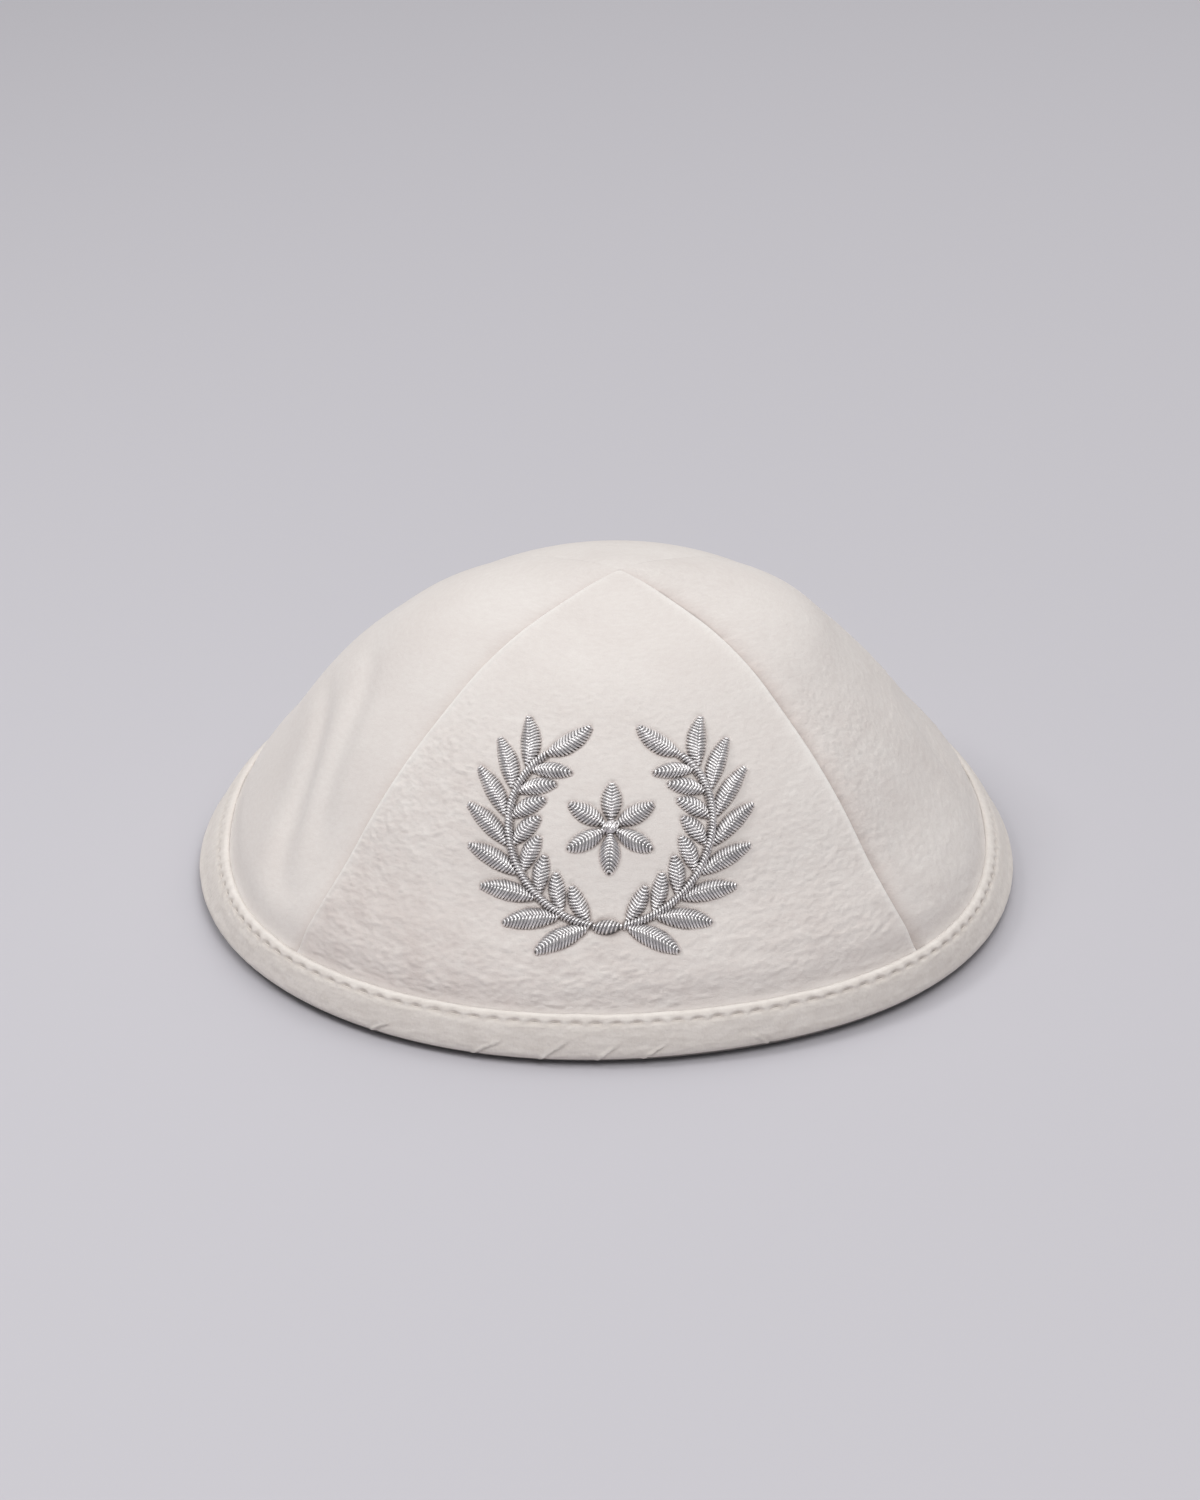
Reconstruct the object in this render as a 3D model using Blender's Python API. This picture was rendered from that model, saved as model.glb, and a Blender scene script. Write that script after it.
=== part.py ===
"""Skullcap of four sewn cloth panels, with a bound rim and a silver embroidered wreath on its front panel.

Metres, +Z up. The cap stands on its rim, and the origin is on the floor under the middle of the crown.
Azimuth 0 is the middle of the front panel, at -Y, and azimuths grow towards +X.
"""

import math

import bpy
import numpy as np

# Crown: the four panels
CROWN_HEIGHT = 0.0650
SEAM_REACH = 0.0846
PANEL_WALL = 0.0016
SEAM_GAP = 0.0003
TIP_SHIFT = 0.0026
# The rim flares out round one azimuth at the front and the opposite one at the back, over a spread in
# degrees, and up to a share of the crown's height.
RIM_FLARE = 0.0025
RIM_FLARE_AZIMUTH = -9
RIM_FLARE_SPREAD = 31
RIM_FLARE_RISE = 0.40
PANEL_COLUMNS = 20
PANEL_ROWS = 17
ROW_CROWDING = 1.3

# Rim: the cloth strip folded round the lower edge of the panels
BINDING_HEIGHT = 0.0098
BINDING_WALL = 0.0011
BINDING_CLEARANCE = 0.0003
BINDING_STEPS = 72

# Soft folds in the panels
FOLD_DEPTH = 0.0018
FOLD_WIDTH = 0.0048

# Embroidery: a wreath of two leafy sprigs round a rosette, raised on the front panel
WREATH_RADIUS = 0.0195
WREATH_RISE = 0.0370
SPRIG_END = math.radians(139)
STEM_WIDTH = 0.0012
OUTER_LEAF_LENGTH = 0.0104
OUTER_LEAF_WIDTH = 0.0034
OUTER_LEAF_ANGLE = math.radians(38)
INNER_LEAF_LENGTH = 0.0072
INNER_LEAF_WIDTH = 0.0027
INNER_LEAF_ANGLE = math.radians(52)
LEAF_SPACING = 0.0005
ROSETTE_RADIUS = 0.0092
PETAL_COUNT = 6
PETAL_WIDTH = 0.0034
ROSETTE_EYE_RADIUS = 0.0014
TIE_LENGTH = 0.0052
TIE_WIDTH = 0.0026
STITCH_RELIEF = 0.0009
STITCH_GAP = 0.0003

# How the embroidery is laid out and meshed. A leaf is widest a little before its middle, and its relief
# falls to STROKE_END_RELIEF, a share, at its ends. FIRST_LEAF is a share of the step between leaves.
LEAF_BOW = 0.2
LEAF_BELLY = 0.85
LEAF_FULLNESS = 0.8
STROKE_END_RELIEF = 0.35
FIRST_LEAF = 0.2
LEAF_STATIONS = 7
STEM_STATIONS = 16
EYE_SIDES = 10

# The panels' lower edge stands on the binding's fold.
EDGE_HEIGHT = BINDING_WALL + BINDING_CLEARANCE

PANEL_AZIMUTHS = {"front": 0, "right": 90, "back": 180, "left": 270}

# Sections up the crown. Height is a share of the rise from the panels' edge to the tip, and seam a share
# of SEAM_REACH. Crease says how sharply the cloth bends at a seam, from 0 to 1. Each panel's column is its
# reach in the middle, as a share of the section's reach at a seam.
CROWN_SECTIONS = (
    # height, seam, crease, front, right, back, left
    (0.000, 1.000, 0.00, 0.967, 0.976, 0.967, 0.976),
    (0.064, 0.997, 0.00, 0.965, 0.962, 0.965, 0.960),
    (0.132, 0.985, 0.05, 0.962, 0.944, 0.962, 0.938),
    (0.253, 0.927, 0.35, 0.963, 0.936, 0.965, 0.935),
    (0.377, 0.843, 0.80, 0.965, 0.940, 0.965, 0.955),
    (0.525, 0.748, 1.00, 0.968, 0.942, 0.970, 0.978),
    (0.635, 0.662, 1.00, 0.972, 0.948, 0.985, 1.005),
    (0.736, 0.565, 1.00, 0.980, 0.980, 1.000, 1.035),
    (0.846, 0.443, 1.00, 0.990, 1.055, 1.020, 1.090),
    (0.915, 0.328, 1.00, 1.000, 1.120, 1.030, 1.130),
    (0.967, 0.180, 1.00, 1.000, 1.120, 1.030, 1.080),
    (0.994, 0.071, 1.00, 1.000, 1.020, 1.010, 1.010),
    (1.000, 0.000, 1.00, 1.000, 1.000, 1.000, 1.000),
)

# Soft folds. Each runs along a bent path through three places, each an azimuth in degrees and a height
# as a share of the crown's. Depth and width are shares of FOLD_DEPTH and FOLD_WIDTH, and a fold fades out
# towards its ends by a sine raised to FOLD_ENDS.
FOLDS = (
    # start azimuth and height, middle azimuth and height, end azimuth and height, depth, width
    (-118, 0.56, -76, 0.53, -52, 0.26, 1.00, 1.00),
    (-122, 0.68, -77, 0.69, -48, 0.36, 0.80, 0.85),
    (99, 0.54, 91, 0.36, 84, 0.16, 0.60, 1.00),
)
FOLD_SAMPLES = 25
FOLD_ENDS = 0.6

# The binding's section, from the foot up the outside, down inside the fold, and down the inside.
# Height is a share of BINDING_HEIGHT, or of the fold's thickness on rows named fold. Cover is how far the
# point stands off the panel's face, as a share of BINDING_WALL past the clearance.
BINDING_SECTION = (
    # row, side of the panel, height, cover
    ("leaf", "outer", 0.05, 0.95),
    ("leaf", "outer", 0.38, 1.10),
    ("leaf", "outer", 0.80, 0.62),
    ("leaf", "outer", 0.93, 1.05),
    ("leaf", "outer", 1.00, 0.55),
    ("leaf", "outer", 0.97, 0.00),
    ("leaf", "outer", 0.62, 0.00),
    ("fold", "outer", 1.00, 0.00),
    ("fold", "inner", 1.00, 0.00),
    ("leaf", "inner", 0.50, 0.00),
    ("leaf", "inner", 0.91, 0.00),
    ("leaf", "inner", 0.95, 0.55),
    ("leaf", "inner", 0.78, 1.00),
    ("leaf", "inner", 0.05, 0.95),
    ("fold", "inner", 0.00, 0.45),
    ("fold", "outer", 0.00, 0.45),
)

# Materials: colour, roughness and metallic value
PANEL_CLOTH = ((0.80, 0.76, 0.72, 1), 0.85, 0.0)
BINDING_CLOTH = ((0.77, 0.72, 0.67, 1), 0.90, 0.0)
SILVER_THREAD = ((0.70, 0.70, 0.71, 1), 0.35, 0.9)


def clear_scene():
    for obj in list(bpy.data.objects):
        bpy.data.objects.remove(obj, do_unlink=True)


def make_material(name, finish):
    colour, roughness, metallic = finish
    material = bpy.data.materials.new(name)
    material.use_nodes = True
    shader = material.node_tree.nodes["Principled BSDF"]
    shader.inputs["Base Color"].default_value = colour
    shader.inputs["Roughness"].default_value = roughness
    shader.inputs["Metallic"].default_value = metallic
    return material


def add_piece(name, points, faces, material):
    """Makes one closed mesh object, shaded smooth where its faces meet at a small angle."""
    mesh = bpy.data.meshes.new(name)
    mesh.from_pydata([tuple(point) for point in points], [], faces)
    mesh.materials.append(material)
    mesh.shade_smooth()
    mesh.set_sharp_from_angle(angle=math.radians(50))
    piece = bpy.data.objects.new(name, mesh)
    bpy.context.scene.collection.objects.link(piece)
    return piece


# The crown's outer surface

def crown_curve():
    """The sections as rows of height, seam reach, crease and shares, with their places along the seam.

    A row is mirrored past the tip, so that the surface is level there.
    """
    rows = np.array(CROWN_SECTIONS)
    rows[:, 0] = EDGE_HEIGHT + rows[:, 0] * (CROWN_HEIGHT - EDGE_HEIGHT)
    rows[:, 1] *= SEAM_REACH
    mirrored = rows[-2].copy()
    mirrored[1] *= -1
    rows = np.vstack([rows, mirrored])
    steps = np.hypot(np.diff(rows[:, 0]), np.diff(rows[:, 1]))
    places = np.concatenate([[0], np.cumsum(steps)])
    return places, rows


PLACES, SECTIONS = crown_curve()
SLOPES = np.gradient(SECTIONS, PLACES, axis=0)
SEAM_LENGTH = PLACES[-2]


def section_at(along):
    """Height, seam reach, crease and panel shares at distances along the seam from the panels' edge."""
    along = np.asarray(along, float)
    row = np.clip(np.searchsorted(PLACES, along, side="right") - 1, 0, len(PLACES) - 2)
    width = PLACES[row + 1] - PLACES[row]
    share = ((along - PLACES[row]) / width)[..., None]
    width = width[..., None]
    return (
        (2 * share**3 - 3 * share**2 + 1) * SECTIONS[row]
        + (share**3 - 2 * share**2 + share) * width * SLOPES[row]
        + (3 * share**2 - 2 * share**3) * SECTIONS[row + 1]
        + (share**3 - share**2) * width * SLOPES[row + 1]
    )


def rim_flare(azimuth, height):
    """How far the cloth flares out, fully as high as the binding and less above it."""
    away = (azimuth - RIM_FLARE_AZIMUTH + 90) % 180 - 90
    top = EDGE_HEIGHT + RIM_FLARE_RISE * (CROWN_HEIGHT - EDGE_HEIGHT)
    rise = np.clip((height - BINDING_HEIGHT) / (top - BINDING_HEIGHT), 0, 1)
    return RIM_FLARE * np.exp(-((away / RIM_FLARE_SPREAD) ** 2)) * (1 - rise**2 * (3 - 2 * rise))


def reach_at(azimuth, along):
    """Height and reach of the smooth crown, without its folds."""
    section = section_at(along)
    quarter = np.floor((azimuth + 45) / 90).astype(int) % 4
    share = np.take_along_axis(section[..., 3:], quarter[..., None], -1)[..., 0]
    from_middle = ((azimuth + 45) % 90 - 45) / 45
    creased, level = 1 - from_middle**2, np.cos(from_middle * math.pi / 2) ** 2
    middle_weight = level + section[..., 2] * (creased - level)
    reach = section[..., 1] * (1 - (1 - share) * middle_weight) + rim_flare(azimuth, section[..., 0])
    return section[..., 0], reach


def placed(azimuth, height, reach):
    """Points in space, with the tip's small shift to the right."""
    angle = np.radians(azimuth)
    shift = TIP_SHIFT * ((height - EDGE_HEIGHT) / (CROWN_HEIGHT - EDGE_HEIGHT)) ** 2
    return np.stack([reach * np.sin(angle) + shift, -reach * np.cos(angle), height], axis=-1)


def fold_path(fold):
    """Points along a fold, with the fold's strength at each."""
    start, middle, end = fold[0:2], fold[2:4], fold[4:6]
    share = np.linspace(0, 1, FOLD_SAMPLES)[:, None]
    bend = 2 * np.array(middle) - (np.array(start) + np.array(end)) / 2
    path = (1 - share) ** 2 * start + 2 * share * (1 - share) * bend + share**2 * end
    height = EDGE_HEIGHT + path[:, 1] * (CROWN_HEIGHT - EDGE_HEIGHT)
    along = np.interp(height, SECTIONS[:-1, 0], PLACES[:-1])
    strength = np.clip(np.sin(math.pi * share[:, 0]), 0, 1) ** FOLD_ENDS
    return placed(path[:, 0], *reach_at(path[:, 0], along)), strength


FOLD_PATHS = [fold_path(fold) for fold in FOLDS]


def fold_depth(points):
    """How far the folds press each point of the crown inwards."""
    depth = np.zeros(points.shape[:-1])
    for fold, (path, strength) in zip(FOLDS, FOLD_PATHS):
        away = np.linalg.norm(points[..., None, :] - path, axis=-1) / (fold[7] * FOLD_WIDTH)
        pressed = fold[6] * FOLD_DEPTH * (strength * np.exp(-(away**2))).max(axis=-1)
        depth = np.maximum(depth, pressed)
    return depth


def crown_point(azimuth, along, depth=0.0):
    """Points at a depth under the crown's outer face.

    The depth is measured square to the section's curve, but level at the lower edge, which is cut level.
    """
    azimuth, along = np.broadcast_arrays(np.asarray(azimuth, float), np.asarray(along, float))
    step = SEAM_LENGTH / 1000
    height, reach = reach_at(azimuth, along)
    higher, narrower = reach_at(azimuth, np.minimum(along + step, SEAM_LENGTH))
    lower, wider = reach_at(azimuth, np.maximum(along - step, 0))
    rise, run = higher - lower, (wider - narrower) * np.clip(along / BINDING_HEIGHT, 0, 1)
    length = np.hypot(rise, run)
    inwards = depth + fold_depth(placed(azimuth, height, reach))
    return placed(azimuth, height - inwards * run / length, reach - inwards * rise / length)


def reach_under(azimuth, height, depth):
    """How far from the axis the crown is at a height, at a depth under its outer face."""
    along = np.linspace(0, SEAM_LENGTH / 3, 120)
    points = crown_point(azimuth, along, depth)
    reach = np.hypot(points[:, 0], points[:, 1])
    return np.interp(height, points[:, 2], reach)


# Panels

def panel_face(centre, depth):
    """A grid of points over one panel at a depth, its rows closer together towards the hem, and its tip."""
    along = SEAM_LENGTH * np.linspace(0, 1, PANEL_ROWS + 1)[:-1, None] ** ROW_CROWDING
    reach = reach_at(np.full(along.shape, 45.0), along)[1] - depth
    half_angle = 45 - np.degrees(np.arcsin(SEAM_GAP / 2 / reach))
    across = np.linspace(-1, 1, PANEL_COLUMNS + 1)[None, :]
    grid = crown_point(centre + half_angle * across, along, depth)
    tip = crown_point(centre, SEAM_LENGTH, depth)
    angle = math.radians(centre)
    tip = tip + SEAM_GAP * np.array([math.sin(angle), -math.cos(angle), 0])
    return grid, tip


def make_panel(side, material):
    """One quarter of the crown: two faces a wall apart, closed along the hem, both seams and the tip."""
    centre = PANEL_AZIMUTHS[side]
    columns, rows = PANEL_COLUMNS + 1, PANEL_ROWS
    points = []
    for depth in (0.0, PANEL_WALL):
        grid, tip = panel_face(centre, depth)
        points.extend(grid.reshape(-1, 3))
        points.append(tip)
    inner = rows * columns + 1
    faces = []
    for row in range(rows - 1):
        for column in range(columns - 1):
            a = row * columns + column
            quad = (a, a + 1, a + columns + 1, a + columns)
            faces.append(quad)
            faces.append(tuple(inner + corner for corner in reversed(quad)))
    last = (rows - 1) * columns
    tip = rows * columns
    for column in range(columns - 1):
        faces.append((last + column, last + column + 1, tip))
        faces.append((inner + last + column + 1, inner + last + column, inner + tip))
        faces.append((column + 1, column, inner + column, inner + column + 1))
    for row in range(rows - 1):
        left, right = row * columns, row * columns + columns - 1
        faces.append((left, left + columns, inner + left + columns, inner + left))
        faces.append((right + columns, right, inner + right, inner + right + columns))
    faces.append((last, tip, inner + tip, inner + last))
    faces.append((tip, last + columns - 1, inner + last + columns - 1, inner + tip))
    return add_piece(f"panel_{side}", points, faces, material)


# Rim binding

def binding_ring(azimuth):
    """The binding's section at one azimuth, as points in space."""
    ring = []
    for row, side, height_share, cover in BINDING_SECTION:
        height = height_share * (BINDING_HEIGHT if row == "leaf" else BINDING_WALL)
        stand_off = BINDING_CLEARANCE + cover * BINDING_WALL
        depth = -stand_off if side == "outer" else PANEL_WALL + stand_off
        reach = reach_under(azimuth, height, depth)
        ring.append(placed(azimuth, EDGE_HEIGHT, reach) + np.array([0, 0, height - EDGE_HEIGHT]))
    return ring


def make_binding(material):
    """The strip wraps the panels' lower edge, and the fold is flat where the cap stands on it."""
    count = len(BINDING_SECTION)
    points = []
    for step in range(BINDING_STEPS):
        points.extend(binding_ring(360 * step / BINDING_STEPS))
    faces = []
    for step in range(BINDING_STEPS):
        here, there = step * count, (step + 1) % BINDING_STEPS * count
        for i in range(count):
            j = (i + 1) % count
            faces.append((here + i, there + i, there + j, here + j))
    return add_piece("rim_binding", points, faces, material)


# Embroidery

WREATH_CENTRE = float(np.interp(WREATH_RISE, SECTIONS[:-1, 0], PLACES[:-1]))


def on_front(across, up, lift):
    """A point over the front panel: across and up are distances on the cloth from the wreath's centre."""
    along = WREATH_CENTRE + up
    reach = reach_at(np.zeros(1), np.array([along]))[1][0]
    return crown_point(math.degrees(across / reach), along, -lift)


def along_leaf(root, heading, length, bow, share):
    """A place on a leaf's middle line, which bows to one side, and the direction there."""
    turn = bow * (1 - 2 * share)
    side = bow * length * share * (1 - share)
    across = root[0] + length * share * math.cos(heading) - side * math.sin(heading)
    up = root[1] + length * share * math.sin(heading) + side * math.cos(heading)
    return (across, up), heading + turn


def satin_stroke(name, middle_line, width_at, material):
    """A raised satin-stitched stroke, pointed at both ends, that follows a line on the front panel."""
    # Each section: share of the half width, share of the relief
    section = ((-1.0, 0.0), (1.0, 0.0), (0.62, 0.75), (0.0, 1.0), (-0.62, 0.75))
    points = []
    for place, direction, share in middle_line[1:-1]:
        half = width_at(share) / 2
        relief = STITCH_RELIEF * (STROKE_END_RELIEF + (1 - STROKE_END_RELIEF) * math.sin(math.pi * share))
        for side, height in section:
            across = place[0] - side * half * math.sin(direction)
            up = place[1] + side * half * math.cos(direction)
            points.append(on_front(across, up, STITCH_GAP + height * relief))
    count, rings = len(section), len(middle_line) - 2
    first, last = len(points), len(points) + 1
    for place, _, _ in (middle_line[0], middle_line[-1]):
        points.append(on_front(*place, STITCH_GAP + STITCH_RELIEF * STROKE_END_RELIEF / 2))
    faces = []
    for ring in range(rings - 1):
        for i in range(count):
            a, b = ring * count + i, ring * count + (i + 1) % count
            faces.append((a, b, b + count, a + count))
    for i in range(count):
        j = (i + 1) % count
        faces.append((first, j, i))
        faces.append((last, (rings - 1) * count + i, (rings - 1) * count + j))
    return add_piece(name, points, faces, material)


def make_leaf(name, root, heading, length, width, bow, material):
    """A leaf or petal that springs from its root and tapers to a point."""
    middle_line = []
    for station in range(LEAF_STATIONS):
        share = station / (LEAF_STATIONS - 1)
        middle_line.append((*along_leaf(root, heading, length, bow, share), share))

    def width_at(share):
        return width * math.sin(math.pi * share**LEAF_BELLY) ** LEAF_FULLNESS

    return satin_stroke(name, middle_line, width_at, material)


def wreath_place(angle, radius, side):
    """A place on the wreath's circle: angle from its bottom, and side -1 for left or 1 for right."""
    return side * radius * math.sin(angle), -radius * math.cos(angle)


def leaf_pitch(outwards, length, width, angle):
    """The step along the stem at which neighbouring leaves clear each other where they are widest."""
    out = WREATH_RADIUS + outwards * length / 2 * math.sin(angle)
    middle_radius = math.hypot(out, length / 2 * math.cos(angle))
    slant = math.acos(WREATH_RADIUS * math.cos(angle) / middle_radius)
    return (width + LEAF_SPACING) / math.sin(slant) * WREATH_RADIUS / middle_radius


def sprig_heading(angle, side):
    """The direction in which a sprig grows at an angle round the wreath."""
    return angle if side > 0 else math.pi - angle


def make_sprig(side_name, side, material):
    """A stem on the wreath's circle, with leaves in pairs on both sides of it and one at its end."""
    start = (TIE_LENGTH / 2 + STITCH_GAP) / WREATH_RADIUS
    stem = []
    for station in range(STEM_STATIONS):
        share = station / (STEM_STATIONS - 1)
        angle = start + (SPRIG_END - start) * share
        stem.append((wreath_place(angle, WREATH_RADIUS, side), sprig_heading(angle, side), share))
    satin_stroke(f"stem_{side_name}", stem, lambda share: STEM_WIDTH, material)

    rows = (
        # place, outwards, length, width, angle
        ("outer", 1, OUTER_LEAF_LENGTH, OUTER_LEAF_WIDTH, OUTER_LEAF_ANGLE),
        ("inner", -1, INNER_LEAF_LENGTH, INNER_LEAF_WIDTH, INNER_LEAF_ANGLE),
    )
    pitch = max(leaf_pitch(*row[1:]) for row in rows)
    pairs = int((SPRIG_END - start) * WREATH_RADIUS / pitch)
    off_stem = STEM_WIDTH / 2 + STITCH_GAP
    for pair in range(pairs):
        angle = start + (SPRIG_END - start) * (pair + FIRST_LEAF) / pairs
        for place_name, outwards, length, width, lean in rows:
            root = wreath_place(angle, WREATH_RADIUS + outwards * off_stem, side)
            heading = sprig_heading(angle, side) - side * outwards * lean
            name = f"leaf_{side_name}_{place_name}_{pair + 1}"
            make_leaf(name, root, heading, length, width, LEAF_BOW * side * outwards, material)
    end = SPRIG_END + STITCH_GAP / WREATH_RADIUS
    root = wreath_place(end, WREATH_RADIUS, side)
    heading, bow = sprig_heading(end, side), LEAF_BOW * side
    make_leaf(f"leaf_{side_name}_end", root, heading, OUTER_LEAF_LENGTH, OUTER_LEAF_WIDTH, bow, material)


def make_rosette(material):
    """Petals round a small domed eye, in the middle of the wreath."""
    root_radius = ROSETTE_EYE_RADIUS + STITCH_GAP
    for petal in range(PETAL_COUNT):
        heading = math.pi / 2 + 2 * math.pi * petal / PETAL_COUNT
        root = (root_radius * math.cos(heading), root_radius * math.sin(heading))
        length = ROSETTE_RADIUS - root_radius
        make_leaf(f"petal_{petal + 1}", root, heading, length, PETAL_WIDTH, 0, material)
    sides = EYE_SIDES
    # Rings of the dome: share of the radius, share of the relief
    rings = ((1.0, 0.0), (0.95, 0.5), (0.6, 0.9))
    points = []
    for radius_share, height_share in rings:
        for i in range(sides):
            angle = 2 * math.pi * i / sides
            radius = radius_share * ROSETTE_EYE_RADIUS
            lift = STITCH_GAP + height_share * STITCH_RELIEF
            points.append(on_front(radius * math.cos(angle), radius * math.sin(angle), lift))
    points.append(on_front(0, 0, STITCH_GAP + STITCH_RELIEF))
    top = len(points) - 1
    faces = [tuple(reversed(range(sides)))]
    for ring in range(len(rings) - 1):
        for i in range(sides):
            j = (i + 1) % sides
            a, b = ring * sides + i, ring * sides + j
            faces.append((a, b, b + sides, a + sides))
    last = (len(rings) - 1) * sides
    for i in range(sides):
        faces.append((last + i, last + (i + 1) % sides, top))
    add_piece("rosette_eye", points, faces, material)


def make_tie(material):
    """A short bar across the foot of the wreath, between the two stems."""
    root = (-TIE_LENGTH / 2, -WREATH_RADIUS)
    make_leaf("wreath_tie", root, 0, TIE_LENGTH, TIE_WIDTH, 0, material)


def main():
    clear_scene()
    panel_cloth = make_material("panel_cloth", PANEL_CLOTH)
    binding_cloth = make_material("binding_cloth", BINDING_CLOTH)
    silver_thread = make_material("silver_thread", SILVER_THREAD)
    for side in PANEL_AZIMUTHS:
        make_panel(side, panel_cloth)
    make_binding(binding_cloth)
    for side_name, side in (("left", -1), ("right", 1)):
        make_sprig(side_name, side, silver_thread)
    make_rosette(silver_thread)
    make_tie(silver_thread)


main()
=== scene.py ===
import math

import bpy
import numpy as np
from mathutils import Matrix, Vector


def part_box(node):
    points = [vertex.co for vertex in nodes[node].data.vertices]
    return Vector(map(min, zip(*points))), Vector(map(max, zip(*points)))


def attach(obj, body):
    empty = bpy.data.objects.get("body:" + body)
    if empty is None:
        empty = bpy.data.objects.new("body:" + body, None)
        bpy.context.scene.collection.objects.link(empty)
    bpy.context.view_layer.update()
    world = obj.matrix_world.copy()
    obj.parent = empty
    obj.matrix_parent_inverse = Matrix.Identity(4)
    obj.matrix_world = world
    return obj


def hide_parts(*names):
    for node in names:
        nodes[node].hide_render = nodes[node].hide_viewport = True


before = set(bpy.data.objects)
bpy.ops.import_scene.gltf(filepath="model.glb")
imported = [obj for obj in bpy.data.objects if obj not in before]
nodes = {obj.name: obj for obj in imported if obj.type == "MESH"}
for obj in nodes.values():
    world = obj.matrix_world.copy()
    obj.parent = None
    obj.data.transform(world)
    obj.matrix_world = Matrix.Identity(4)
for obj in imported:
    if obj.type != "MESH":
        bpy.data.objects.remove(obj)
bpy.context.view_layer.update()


# Crown quarters. Four like pieces of ivory velour, each cut as a quarter of a dome and sewn edge to edge to
# its neighbours along seams that meet at the tip. The front quarter lies on top at both of its seams. The
# left quarter has two soft folds, and the cloth is gathered into fine ripples towards the rim.

HEM_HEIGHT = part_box("panel_front")[0].z
TIP_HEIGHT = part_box("panel_front")[1].z
SEAM_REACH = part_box("panel_front")[1].x * math.sqrt(2)
BINDING_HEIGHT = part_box("rim_binding")[1].z
TIP_SHIFT = 0.0026
CLOTH_WALL = 0.0016
# The rim flares out round one azimuth at the front and the opposite one at the back.
RIM_FLARE = 0.0025
FLARE_AZIMUTH, FLARE_SPREAD = -9, 31
FLARE_TOP = HEM_HEIGHT + 0.40 * (TIP_HEIGHT - HEM_HEIGHT)

QUARTERS = {"front": 0, "right": 90, "back": 180, "left": 270}

# The dome's sections. Height is a share of the rise from hem to tip, seam a share of SEAM_REACH, and crease
# how sharply the cloth bends at a seam. A quarter's column is its reach in the middle over that at a seam.
SECTIONS = np.array((
    # height, seam, crease, front, right, back, left
    (0.000, 1.000, 0.00, 0.967, 0.976, 0.967, 0.976),
    (0.064, 0.997, 0.00, 0.965, 0.962, 0.965, 0.960),
    (0.132, 0.985, 0.05, 0.962, 0.944, 0.962, 0.938),
    (0.253, 0.927, 0.35, 0.963, 0.936, 0.965, 0.935),
    (0.377, 0.843, 0.80, 0.965, 0.940, 0.965, 0.955),
    (0.525, 0.748, 1.00, 0.968, 0.942, 0.970, 0.978),
    (0.635, 0.662, 1.00, 0.972, 0.948, 0.985, 1.005),
    (0.736, 0.565, 1.00, 0.980, 0.980, 1.000, 1.035),
    (0.846, 0.443, 1.00, 0.990, 1.055, 1.020, 1.090),
    (0.915, 0.328, 1.00, 1.000, 1.120, 1.030, 1.130),
    (0.967, 0.180, 1.00, 1.000, 1.120, 1.030, 1.080),
    (0.994, 0.071, 1.00, 1.000, 1.020, 1.010, 1.010),
    (1.000, 0.000, 1.00, 1.000, 1.000, 1.000, 1.000),
))
SECTIONS[:, 0] = HEM_HEIGHT + SECTIONS[:, 0] * (TIP_HEIGHT - HEM_HEIGHT)
SECTIONS[:, 1] *= SEAM_REACH
# One more section, mirrored past the tip, makes the dome level there.
SECTIONS = np.vstack([SECTIONS, SECTIONS[-2] * (1, -1, 1, 1, 1, 1, 1)])
PLACES = np.concatenate([[0], np.cumsum(np.hypot(np.diff(SECTIONS[:, 0]), np.diff(SECTIONS[:, 1])))])
SLOPES = np.gradient(SECTIONS, PLACES, axis=0)
SEAM_LENGTH = PLACES[-2]


def section_at(along):
    """The dome's section at distances along a seam from the hem."""
    row = np.clip(np.searchsorted(PLACES, along, side="right") - 1, 0, len(PLACES) - 2)
    width = PLACES[row + 1] - PLACES[row]
    share = ((along - PLACES[row]) / width)[..., None]
    width = width[..., None]
    return (
        (2 * share**3 - 3 * share**2 + 1) * SECTIONS[row]
        + (share**3 - 2 * share**2 + share) * width * SLOPES[row]
        + (3 * share**2 - 2 * share**3) * SECTIONS[row + 1]
        + (share**3 - share**2) * width * SLOPES[row + 1]
    )


def smooth_step(low, high, value):
    share = np.clip((value - low) / (high - low), 0, 1)
    return share * share * (3 - 2 * share)


def dome_reach(azimuth, along):
    """Height and reach of the smooth dome."""
    section = section_at(along)
    quarter = np.floor((azimuth + 45) / 90).astype(int) % 4
    share = np.take_along_axis(section[..., 3:], quarter[..., None], -1)[..., 0]
    from_middle = ((azimuth + 45) % 90 - 45) / 45
    creased, level = 1 - from_middle**2, np.cos(from_middle * math.pi / 2) ** 2
    reach = section[..., 1] * (1 - (1 - share) * (level + section[..., 2] * (creased - level)))
    off_flare = (azimuth - FLARE_AZIMUTH + 90) % 180 - 90
    flare = RIM_FLARE * np.exp(-((off_flare / FLARE_SPREAD) ** 2))
    return section[..., 0], reach + flare * (1 - smooth_step(BINDING_HEIGHT, FLARE_TOP, section[..., 0]))


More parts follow.
